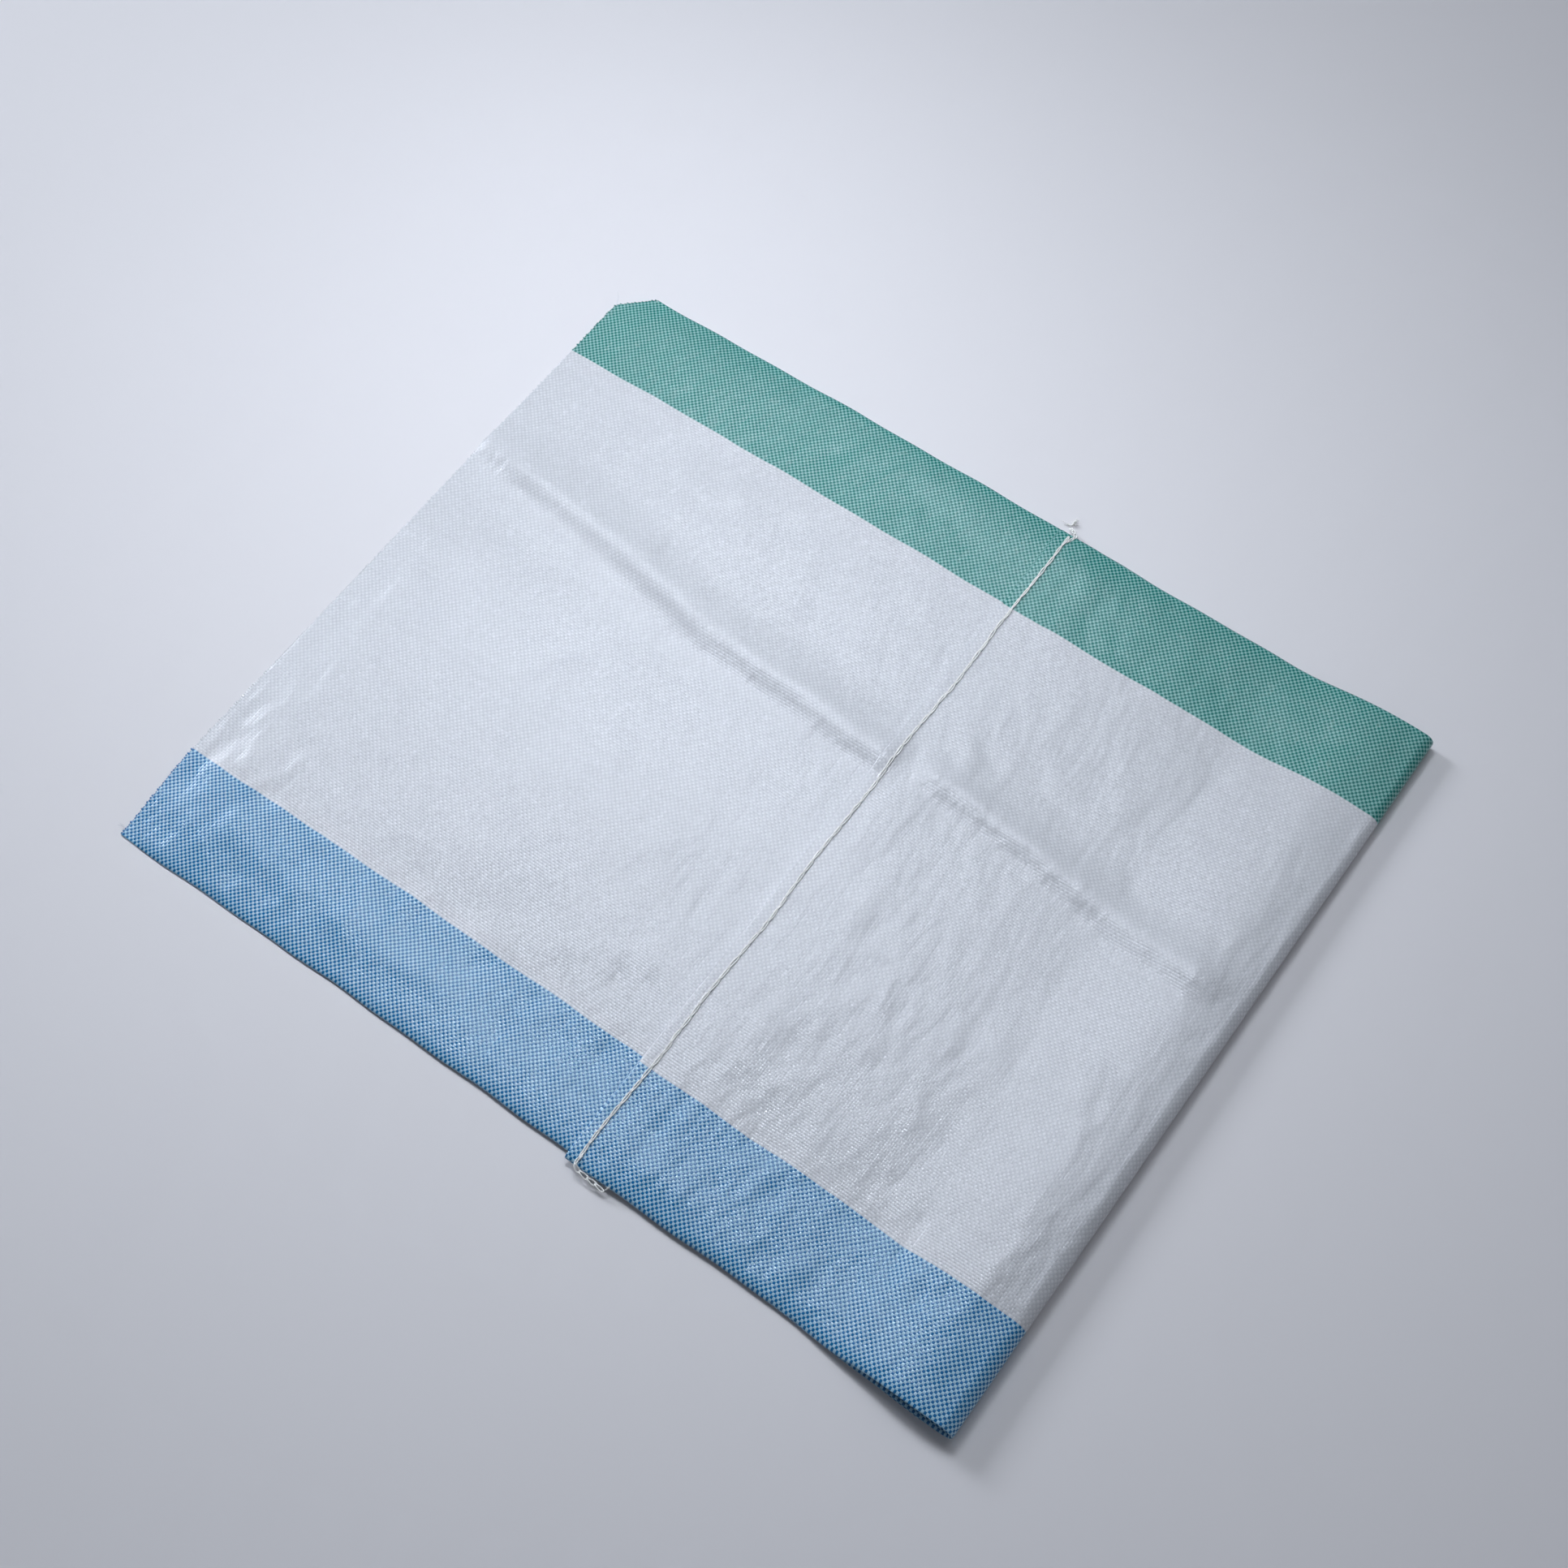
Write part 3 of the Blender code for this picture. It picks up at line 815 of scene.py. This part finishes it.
# %% Woven cloth material
# White, blue and green.
WARP_COLOURS = ((0.665, 0.670, 0.690), (0.002, 0.132, 0.345), (0.003, 0.155, 0.130))
WEFT_COLOURS = ((0.562, 0.570, 0.595), (0.370, 0.590, 0.725), (0.215, 0.470, 0.440))
SWAYS = ((22.0, 0.5), (31.0, 0.6))  # noise scale and reach, in tapes, across and along
# Painted shade: the colour is darkened where the tapes dip between crossings.
SEAM_SHADE = 0.93  # tone between two tapes
SQUARE_TILT = 0.08
CRINKLE, PILLOW = (0.8, 0.0012), (1.0, 0.00010)  # strength and distance of the bumps
GLOSS = (0.28, 0.19)  # roughness of dull and of bright patches
EXTRA_GLOSS = 0.04
CLOUD_SCALE, CRINKLE_SCALE, PATCH_SCALE = 14.0, 95.0, 110.0
STRETCH = (1.3, 0.6, 1.0)  # crinkles and patches run longer across the bag


def woven_cloth():
    """Chessboard of tapes from sin(pi u) * sin(pi v), coloured by the count u round the tube."""
    material, shader, solid = new_material("woven_cloth", 0.42)
    tapes = tapes_on(material)

    # Tapes wander a little to the side as they run.
    counts = [maths("ADD", tapes[i], times(maths("SUBTRACT", noise(solid, scale), 0.5), reach))
              for i, (scale, reach) in enumerate(SWAYS)]
    square = times(*(maths("SINE", times(count, math.pi)) for count in counts))
    pillow = maths("ABSOLUTE", square)
    warp_up = remap(square, -0.04, 0.08, 0.0, 1.0, "SMOOTHSTEP")

    # Which band a lengthwise tape belongs to.
    from_green = maths("ABSOLUTE", maths("SUBTRACT", tapes[0], half_count))
    in_green = maths("LESS_THAN", from_green, float(BAND_TAPES))
    in_blue = maths("GREATER_THAN", from_green, half_count - BAND_TAPES)
    warp, weft = (blend_colours(in_green, blend_colours(in_blue, white, blue), green)
                  for white, blue, green in (WARP_COLOURS, WEFT_COLOURS))
    colour = blend_colours(warp_up, weft, warp)

    # No two squares take quite the same colour, and painted shade darkens the dips between tapes.
    tape, row = (maths("FLOOR", count) for count in counts)
    each_tape = remap(chance(tape, 3.0), 0.0, 1.0, 0.985, 1.01)
    each_square = remap(chance(tape, row), 0.0, 1.0, 0.96, 1.03)
    seam_shade = remap(pillow, 0.0, 0.25, SEAM_SHADE, 1.0)
    cloudy = remap(noise(solid, CLOUD_SCALE, 4.0), 0.3, 0.7, 0.985, 1.01)
    tone = times(times(each_tape, each_square), times(seam_shade, cloudy))
    plug(shader, "Base Color", vectors("SCALE", colour, tone))

    # Each square leans its own way a little, the cloth is crinkled, and the squares bulge.
    lean = vectors("SUBTRACT", chance(tape, row, "Color"), (0.5, 0.5, 0.5))
    lean = vectors("SCALE", lean, SQUARE_TILT)
    facing = material.node_tree.nodes.new("ShaderNodeNewGeometry").outputs["Normal"]
    facing = vectors("NORMALIZE", vectors("ADD", facing, lean))
    stretched = vectors("MULTIPLY", solid, STRETCH)
    facing = bump(noise(stretched, CRINKLE_SCALE, 1.0), *CRINKLE, Normal=facing)
    plug(shader, "Normal", bump(maths("POWER", pillow, 0.6), *PILLOW, Normal=facing))

    # Flat tapes shine, in soft patches, and half of the squares a little more.
    patch = remap(noise(stretched, PATCH_SCALE), 0.32, 0.68, *GLOSS)
    extra = remap(chance(maths("ADD", row, 500.0), tape), 0.5, 1.0, 0.0, EXTRA_GLOSS)
    plug(shader, "Roughness", maths("SUBTRACT", patch, extra))
    return material


cloth_finish = woven_cloth()
bag.data.materials.append(cloth_finish)
print("nodes in the cloth's finish:", len(cloth_finish.node_tree.nodes))

# %% [markdown]
# ## The cut ends at the mouth
#
# The mouth is cut, not hemmed. Past the last crossing tape each lengthwise tape stands
# free for about a millimetre, and they end unevenly. Six hundred ends are too small to
# matter one by one, so they are made together: thin blocks set along the mouth's line.

# %% Tape ends
END_WIDTH, END_THICK = 0.74 * TAPE, 0.00016
END_LENGTHS = (0.0003, 0.0014)  # least and most that one stands past the cut
END_ROOT = 0.0006  # how far inside the cloth it starts
END_TAPER, END_DROOP, END_FLOOR = 0.9, 0.00010, 0.00002


def follow(place, walk, path):
    """Points of a path (points, 3) at places along it, where its own points stand at walk."""
    return np.stack([np.interp(place, walk, path[:, axis]) for axis in range(3)], axis=-1)


draw = np.random.default_rng(21)
end_tape = np.arange(TAPES_ROUND) + 0.5
mouth_line = np.concatenate([tube[0], tube[0][:1]])
rising = np.concatenate([[True], np.diff(closed_tape) > 0])
end_base = follow(end_tape, closed_tape[rising], mouth_line[rising])
root = np.full(TAPES_ROUND, END_ROOT)
tip = -draw.uniform(*END_LENGTHS, TAPES_ROUND)
end_droop = draw.normal(0.0, END_DROOP, TAPES_ROUND)
ring_y = np.array([-0.5, 0.5, 0.5, -0.5]) * END_WIDTH
ring_z = np.array([-0.5, -0.5, 0.5, 0.5]) * END_THICK
end_points = np.zeros((TAPES_ROUND, 4, 4, 3))
for place, (forward, scale) in enumerate(((root, 0.0), (root, 1.0), (tip, END_TAPER), (tip, 0.0))):
    end_points[:, place, :, 0] = (end_base[:, 0] + forward)[:, None]
    end_points[:, place, :, 1] = end_base[:, 1:2] + ring_y * scale
    end_points[:, place, :, 2] = end_base[:, 2:3] + ring_z * scale
end_points[:, 2:, :, 2] += end_droop[:, None, None]
end_points[..., 2] = np.maximum(end_points[..., 2], END_FLOOR)
end_values = np.zeros((TAPES_ROUND, 4, 5, 2))
end_values[..., 0] = end_tape[:, None, None]
end_values[..., 1] = np.where(np.arange(TAPES_ROUND) % 2 == 0, 0.5, 1.5)[:, None, None]
tape_ends = mesh_from_grids("mouth_tape_ends", end_points, end_values, columns_close=True)
tape_ends.data.materials.append(cloth_finish)
print("tape ends:", TAPES_ROUND)

# %% [markdown]
# ## The chain stitch
#
# A bag-closing machine sews one thread into a chain. Each loop is pulled up through the
# loop before it, laid forward by one stitch, and held down by the loop after it. So from
# above a stitch is two strands side by side, pinched where they leave the cloth and a bit
# apart further on, with a small knot where two loops cross.
#
# A loop is a closed curve. Its place along the stitch is (1 - cos t) / 2, so it runs out
# and back as t goes round, and its two strands are kept apart by sin t.

# %% Tubes along paths
POINTED = 0.02  # size of a drawn-in end
MILLIMETRE = 0.001
LEAST_TURN = 1e-6  # a path that runs straight up has no side
UP = np.array([0.0, 0.0, 1.0])


def length_of(vectors):
    """Length of each vector, with the last axis kept."""
    return np.linalg.norm(vectors, axis=-1, keepdims=True)


def tubes(name, paths, radius, sides, closed):
    """Carry a circle along each of many paths (paths, points, 3).

    The circle stands across the path: its first direction is the path crossed with up, and
    its second is the path crossed with the first. Open ends are drawn in to a point.
    """
    if closed:
        run = np.roll(paths, -1, axis=1) - np.roll(paths, 1, axis=1)
    else:
        run = np.gradient(paths, axis=1)
    run /= length_of(run)
    across = np.cross(run, UP)
    across /= np.maximum(length_of(across), LEAST_TURN)
    up = np.cross(across, run)
    angle = np.arange(sides) / sides * math.tau
    size = np.broadcast_to(radius, paths.shape[:2]).copy()
    if not closed:
        size[:, [0, -1]] *= POINTED
    ring = across[:, :, None] * np.cos(angle)[:, None] + up[:, :, None] * np.sin(angle)[:, None]
    points = paths[:, :, None] + ring * size[:, :, None, None]
    steps_along = np.linalg.norm(np.diff(paths, axis=1), axis=-1).cumsum(axis=1)
    length = np.concatenate([np.zeros((len(paths), 1)), steps_along], axis=1)
    if closed:
        length = np.concatenate([length, 2 * length[:, -1:] - length[:, -2:-1]], axis=1)
    turn = np.arange(sides + 1) / sides
    millimetres = length[:, :, None] / MILLIMETRE
    values = np.stack(np.broadcast_arrays(turn, millimetres), axis=-1)
    return mesh_from_grids(name, points, values, rows_close=closed, columns_close=True)


# %% The stitch's line
STITCH_PITCH = 0.0100
STRAND = 0.00050  # radius of the thread
LOOP_HALF = 0.00092  # most that a strand stands off the stitch's line
LOOP_HEAD = 0.0013  # how far a loop reaches past the next hole
LOOP_POINTS = 30
STRAND_SIDES = 7
STITCH_WANDER, STITCH_WANDER_LENGTH = 0.0006, 0.11
FIRST_INSET, LAST_INSET = 0.003, 0.004  # from the side edges to the outer holes

stitch_first, stitch_last = -HALF_WIDTH + FIRST_INSET, HALF_WIDTH - LAST_INSET
stitches = round((stitch_last - stitch_first) / STITCH_PITCH)


def hem_surface(x, y):
    """Top of the hem at a place given before the bag strays."""
    return flap_mid(x, y) + flap_space(x, y) + flap_relief(x, y) + CLOTH / 2


def stitch_place(y):
    """The stitch's line: along the hem at a set distance, with a slow wander."""
    return hem_x(y) + STITCH_IN + STITCH_WANDER * np.sin(math.tau * y / STITCH_WANDER_LENGTH)


# %% Loops of the stitch
HOLE_STRAY, LEAN_STRAY, FAR_STRAY = 0.00025, 0.00022, 0.00012
LOOP_SIZES = (0.80, 1.15)
PINCH = 0.35  # share of a loop's width left at its hole
SUNK = 0.0007  # how deep in the cloth a loop starts
LEAVE_BY = 0.10  # share of its length by which it lies on top
LIE = 0.9  # height of a lying strand's middle, in strand radii
HUMP, HUMP_PLACE, HUMP_WIDTH = 0.00055, 0.17, 0.10
HELD, HELD_FROM, HELD_RUN = 0.00012, 0.86, 0.14  # where the next loop holds it down

draw = np.random.default_rng(31)
hole = np.linspace(stitch_first, stitch_last, stitches + 1)[:-1]
hole += draw.normal(0.0, HOLE_STRAY, len(hole))
t = np.arange(LOOP_POINTS) / LOOP_POINTS * math.tau
out = (1.0 - np.cos(t)) / 2
loop_y = out[None, :] * (STITCH_PITCH + LOOP_HEAD) + hole[:, None]
swing = np.sin(t) * (PINCH + (1.0 - PINCH) * out ** 0.8)
half_wide = LOOP_HALF * draw.uniform(*LOOP_SIZES, (len(hole), 1))
lean = draw.normal(0.0, LEAN_STRAY, (len(hole), 1))
loop_x = stitch_place(loop_y) + swing * half_wide + lean * np.sin(out * math.pi)
loop_x += draw.normal(0.0, FAR_STRAY, (len(hole), 1)) * np.cos(t)
hump = np.exp(-((out - HUMP_PLACE) / HUMP_WIDTH) ** 2) * HUMP
rise = ease(out / LEAVE_BY) * (SUNK + STRAND * LIE)
loop_z = hem_surface(loop_x, loop_y) - SUNK + rise + hump
loop_z -= ease((out - HELD_FROM) / HELD_RUN) * HELD
loops = np.stack([loop_x, flap_y(loop_x, loop_y), loop_z], axis=-1) + shift
chain = tubes("chain_stitch", loops, STRAND, STRAND_SIDES, closed=True)
print("stitches:", len(hole), "triangles:", count_triangles(chain))

# %% [markdown]
# ## The loose ends
#
# The machine runs on a little past the cloth, so the chain goes on by itself and is then
# snipped. Freed from the cloth it relaxes: loops are rounder and lie any way up, and the
# snipped end frays into its plies. The blue end turns along the flap's edge. The green end
# hangs over the edge and curls back.

# %% Loops along a free path
LOOP_OVERLAP = 0.0009  # how far a loop reaches into the next
LOOK = 0.0005  # how far ahead and behind the route's direction is read
ROUTE_POINTS = 200
FREE_TILT, FREE_PINCH, FREE_FLATTEN, FREE_WAVE = 0.45, 0.45, 0.7, 0.0004


def smooth_path(points, count):
    """A smooth curve through a few points: cubic pieces with Catmull-Rom slopes."""
    knots = np.array(points, float)
    before = np.concatenate([2 * knots[:1] - knots[1:2], knots[:-1]])
    after = np.concatenate([knots[1:], 2 * knots[-1:] - knots[-2:-1]])
    slope = (after - before) / 2
    place = np.linspace(0, len(knots) - 1, count)
    piece = np.minimum(place.astype(int), len(knots) - 2)
    s = (place - piece)[:, None]
    return ((2 * s ** 3 - 3 * s ** 2 + 1) * knots[piece] + (s ** 3 - 2 * s ** 2 + s) * slope[piece]
            + (3 * s ** 2 - 2 * s ** 3) * knots[piece + 1] + (s ** 3 - s ** 2) * slope[piece + 1])


def free_chain(route, lengths, half_wides, draw):
    """Closed loops laid one after another along a route.

    A loop runs out and back between two places on the route. Its strands stand off it to
    both sides, in a plane that is tilted by its own angle about the route.
    """
    path = smooth_path(route, ROUTE_POINTS)
    walk = np.append(0.0, np.linalg.norm(np.diff(path, axis=0), axis=1).cumsum())
    made = []
    start = 0.0
    for length, half in zip(lengths, half_wides):
        place = start + out * (length + LOOP_OVERLAP)
        run = follow(place + LOOK, walk, path) - follow(place - LOOK, walk, path)
        run /= length_of(run) + TINY
        sideways = np.cross(run, UP)
        sideways /= length_of(sideways) + TINY
        tilt = draw.normal(0.0, FREE_TILT)
        off = np.sin(t) * half * (FREE_PINCH + (1.0 - FREE_PINCH) * out)
        loop = follow(place, walk, path) + sideways * (off * math.cos(tilt))[:, None]
        loop[:, 2] += off * math.sin(tilt) * FREE_FLATTEN + FREE_WAVE * np.sin(out * math.pi * 2)
        made.append(loop)
        start += length
    return np.stack(made)


# %% Fibres of a snipped end
FIBRE_POINTS = 9
FIBRE_CURL = 0.35  # share of the spread
FIBRE_LENGTHS = (0.55, 1.0)
FIBRE_STRAY, FIBRE_FLOOR = 0.00018, 0.0003


def fray(base, direction, count, length, spread, draw):
    """Fibres from one place: straight runs that bend aside by spread times t squared."""
    s = np.linspace(0.0, 1.0, FIBRE_POINTS)[None, :, None]
    aside = draw.normal(0.0, 1.0, (count, 1, 3)) * spread
    curl = draw.normal(0.0, 1.0, (count, 1, 3)) * spread * FIBRE_CURL
    reach = length * draw.uniform(*FIBRE_LENGTHS, (count, 1, 1))
    start = np.array(base) + draw.normal(0.0, FIBRE_STRAY, (count, 1, 3))
    paths = start + np.array(direction) * reach * s + aside * s ** 2
    paths += curl * np.sin(s * math.pi * 2.0) * s
    paths[..., 2] = np.maximum(paths[..., 2], FIBRE_FLOOR)
    return paths


# %% Where the two ends lie
def height_at(surface, x, y):
    """One height of a surface."""
    return float(surface(np.array([x]), np.array([y]))[0])


hem_top = height_at(hem_surface, hem_x(0.0) + STITCH_IN, -HALF_WIDTH + 0.004)
edge_top = height_at(lower_top, 0.065, -HALF_WIDTH + 0.002)

# Name, seed, route, lengths and half widths of its loops, where its tuft starts past the
# last place, tufts (direction, number, length, spread), radius of a fibre.
LOOSE_ENDS = (
    ("blue_side", 41,
     ((0.0542, -0.2711, hem_top + 0.0005), (0.0533, -0.2766, hem_top + 0.0003),
      (0.0563, -0.2793, edge_top + 0.0022), (0.0641, -0.2799, edge_top + 0.0010),
      (0.0702, -0.2799, edge_top + 0.0006), (0.0766, -0.2804, edge_top + 0.0005),
      (0.0782, -0.2781, edge_top + 0.0009)),
     (0.0062, 0.0056, 0.0062, 0.0060, 0.0062), (0.0011, 0.0014, 0.0016, 0.0017, 0.0013),
     (-0.0006, -0.0012, 0.0), (((0.30, 0.95, 0.10), 9, 0.0040, 0.0007),), 0.00016),
    ("green_side", 42,
     ((0.0509, 0.2669, hem_top + 0.0005), (0.0522, 0.2714, hem_top + 0.0004),
      (0.0529, 0.2749, hem_top - 0.0006), (0.0497, 0.2787, hem_top - 0.0022),
      (0.0461, 0.2817, 0.0020), (0.0440, 0.2849, 0.0013)),
     (0.0060, 0.0052, 0.0048, 0.0044), (0.0010, 0.0015, 0.0014, 0.0010),
     (0.0, 0.0, 0.0), (((0.05, 1.0, -0.02), 13, 0.0085, 0.0011),
                       ((0.55, 0.80, 0.0), 9, 0.0068, 0.0010),
                       ((-1.0, -0.18, 0.0), 4, 0.0082, 0.0007)), 0.00017),
)

# %% The loose ends
FREE_STRAND = STRAND * 0.92
FIBRE_SIDES = 5

thread_pieces = [chain]
for name, seed, route, lengths, half_wides, offset, tufts, fibre_radius in LOOSE_ENDS:
    draw = np.random.default_rng(seed)
    tail = free_chain(route, lengths, half_wides, draw) + shift
    tuft_base = np.array(route[-1]) + offset
    tuft = np.concatenate([fray(tuft_base, *one, draw) for one in tufts]) + shift
    thread_pieces.append(tubes(name + "_tail", tail, FREE_STRAND, STRAND_SIDES, closed=True))
    thread_pieces.append(tubes(name + "_tuft", tuft, fibre_radius, FIBRE_SIDES, closed=False))
    print(name, "end:", len(tail), "loops,", len(tuft), "fibres")

# %% [markdown]
# ## The thread's finish
#
# Bag thread is a matt, slightly hairy yarn of two or three plies. The coordinates on the
# tubes run round and along each strand, so a slanted wave on them reads as twist.


# %% Thread material
def thread_finish():
    """A wave over (turns round + length / lay) makes the twist, in the bump and as painted shade
    in the grooves, and fine noise the fuzz.
    """
    material, shader, solid = new_material("closing_thread", 0.82, shine=0.3)
    turn, length, _ = tapes_on(material)
    phase = maths("ADD", times(turn, 2.0), times(length, 0.55))
    lifted = remap(maths("SINE", times(phase, math.tau)), -1.0, 1.0, 0.0, 1.0)
    fuzz = noise(solid, 2600.0, 3.0)
    # Painted shade: the twist wave darkens the colour in the grooves between plies. The fuzz noise
    # varies the tone at random.
    shade = times(remap(lifted, 0.0, 0.5, 0.86, 1.0), remap(fuzz, 0.3, 0.7, 0.92, 1.04))
    colour = blend_colours(noise(solid, 90.0), (0.93, 0.92, 0.88), (0.96, 0.95, 0.92))
    plug(shader, "Base Color", vectors("SCALE", colour, shade))
    plug(shader, "Normal", bump(maths("ADD", lifted, times(fuzz, 0.5)), 0.4, 0.0002))
    return material


thread_material = thread_finish()
for piece in thread_pieces:
    piece.data.materials.append(thread_material)

# %% [markdown]
# ## A few loose fibres
#
# Cut tape splits into hairs. A single long one stands off the blunted green corner, and a
# few short ones sit at the mouth.

# %% Fibres
HAIR_RADIUS, HAIR_POINTS = 0.00009, 14
SHORT_HAIR = (3, 0.0042, 0.0008)  # number, length and spread at each place
CORNER_HAIR = ((-0.3278, 0.2503, 0.0012), (-0.3294, 0.2540, 0.0020), (-0.3311, 0.2582, 0.0026),
               (-0.3338, 0.2610, 0.0030), (-0.3356, 0.2632, 0.0026))
SHORT_HAIRS = (
    ((-0.3235, -0.2690, 0.0008), (-1.0, -0.3, 0.1)), ((-0.3270, 0.1400, 0.0010), (-1.0, 0.4, 0.1)),
    ((-0.3225, -0.1200, 0.0010), (-1.0, -0.2, 0.1)), ((-0.3070, 0.2725, 0.0012), (-0.4, 1.0, 0.1)),
)

draw = np.random.default_rng(51)
kept = np.linspace(0, HAIR_POINTS - 1, FIBRE_POINTS).astype(int)
hairs = [smooth_path(CORNER_HAIR, HAIR_POINTS)[None, kept]]
hairs += [fray(base, direction, *SHORT_HAIR, draw) for base, direction in SHORT_HAIRS]
hairs = np.concatenate(hairs) + shift
loose_hairs = tubes("loose_hairs", hairs, HAIR_RADIUS, FIBRE_SIDES, closed=False)
print("hairs:", len(hairs))


def mottled(name, roughness, shine, scale, detail, colours):
    """A material of two colours mixed by noise on the piece."""
    material, shader, solid = new_material(name, roughness, shine)
    plug(shader, "Base Color", blend_colours(noise(solid, scale, detail), *colours))
    return material


HAIR_COLOURS = ((0.42, 0.45, 0.46), (0.66, 0.68, 0.70))
loose_hairs.data.materials.append(mottled("split_tape", 0.5, 0.5, 300.0, 2.0, HAIR_COLOURS))

# %% [markdown]
# ## Floor, light and camera
#
# The bag lies on a plain pale sheet. A soft lamp stands low on the side of the mouth. It
# throws the short shadow beyond the fold and rakes over the creases. A wide one behind the
# bag fills the rest. Three weak ones with narrow cones make the soft shine on the tapes: on
# the mouth half, on its green corner, and on the flap.

# %% The floor
FLOOR_HALF, FLOOR_LINES = 3.0, 13
FLOOR_HEIGHT = -0.0003
PAPER_COLOURS = ((0.765, 0.745, 0.755), (0.785, 0.765, 0.775))

floor_side = np.linspace(-FLOOR_HALF, FLOOR_HALF, FLOOR_LINES)
floor_x, floor_y = np.meshgrid(floor_side, floor_side, indexing="ij")
floor_points = np.stack([floor_y, floor_x, np.full(floor_x.shape, FLOOR_HEIGHT)], axis=-1)
floor = mesh_from_grids("floor", floor_points[None], floor_points[None, ..., :2])
floor.data.materials.append(mottled("pale_paper", 0.92, 0.2, 2.2, 3.0, PAPER_COLOURS))

# %% Lights
LIGHT_TINT = (0.845, 0.905, 1.0)
ROOM_LIGHT = 0.16

# Name, place, size, power, aim, spread in degrees. A small spread keeps light in a cone.
LAMPS = (
    ("low_side_lamp", (-2.60, 0.45, 1.36), (0.80, 0.80), 52.0, (0.0, 0.0, 0.0), 180.0),
    ("back_lamp", (-0.56, 0.50, 1.60), (0.60, 0.26), 1.7, (-0.12, 0.06, 0.0), 62.0),
    ("corner_lamp", (-1.10, 1.20, 1.60), (0.36, 0.30), 0.08, (-0.34, 0.29, 0.0), 22.0),
    ("glint_lamp", (-0.16, 0.46, 1.60), (0.15, 0.15), 0.17, (0.10, -0.02, 0.0), 56.0),
    ("far_lamp", (0.20, 1.10, 2.20), (1.60, 1.20), 8.5, (0.0, 0.0, 0.0), 180.0),
)


def stand(holder, place, direction):
    """Put a lamp or a camera at a place, looking along a direction."""
    holder.location = place
    holder.rotation_mode = "QUATERNION"
    holder.rotation_quaternion = Vector(direction).to_track_quat("-Z", "Y")


for name, place, size, power, aim, spread in LAMPS:
    lamp = bpy.data.lights.new(name, "AREA")
    lamp.shape = "RECTANGLE"
    lamp.size, lamp.size_y = size
    lamp.energy = power
    lamp.color = LIGHT_TINT
    lamp.spread = math.radians(spread)
    stand(add_object(name, lamp), place, np.array(aim) - np.array(place))
world = bpy.data.worlds.new("pale_room")
world.use_nodes = True
background = world.node_tree.nodes["Background"]
background.inputs[0].default_value = LIGHT_TINT + (1.0,)
background.inputs[1].default_value = ROOM_LIGHT
bpy.context.scene.world = world
bpy.context.scene.view_settings.view_transform = "Standard"
print("lamps:", len(LAMPS))

# %% Camera
AZIMUTH, ELEVATION = math.radians(35.97), math.radians(62.056)
CAMERA_DISTANCE = 1.4977
SENSOR, LENS = 36.0, 53.06
AIM = np.array([0.00295, 0.0037, 0.0040]) + shift

back = np.array([math.sin(AZIMUTH) * math.cos(ELEVATION), -math.cos(AZIMUTH) * math.cos(ELEVATION),
                 math.sin(ELEVATION)])
camera_data = bpy.data.cameras.new("camera")
camera_data.sensor_width = SENSOR
camera_data.lens = LENS
camera = add_object("camera", camera_data)
stand(camera, AIM + back * CAMERA_DISTANCE, -back)
bpy.context.scene.camera = camera

# %% [markdown]
# ## The body every piece rides on
#
# The bag never changes shape here, so every piece rides on its one body. The solid cloth
# and the solid thread are hidden, and the woven bag and the chain stitch show in their place.

# %% Bodies
cloth_pieces = [bag, tape_ends, loose_hairs]
for piece in cloth_pieces:
    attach(piece, "root")
for piece in thread_pieces:
    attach(piece, "root")
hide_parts("bag_cloth")
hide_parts("closing_thread")
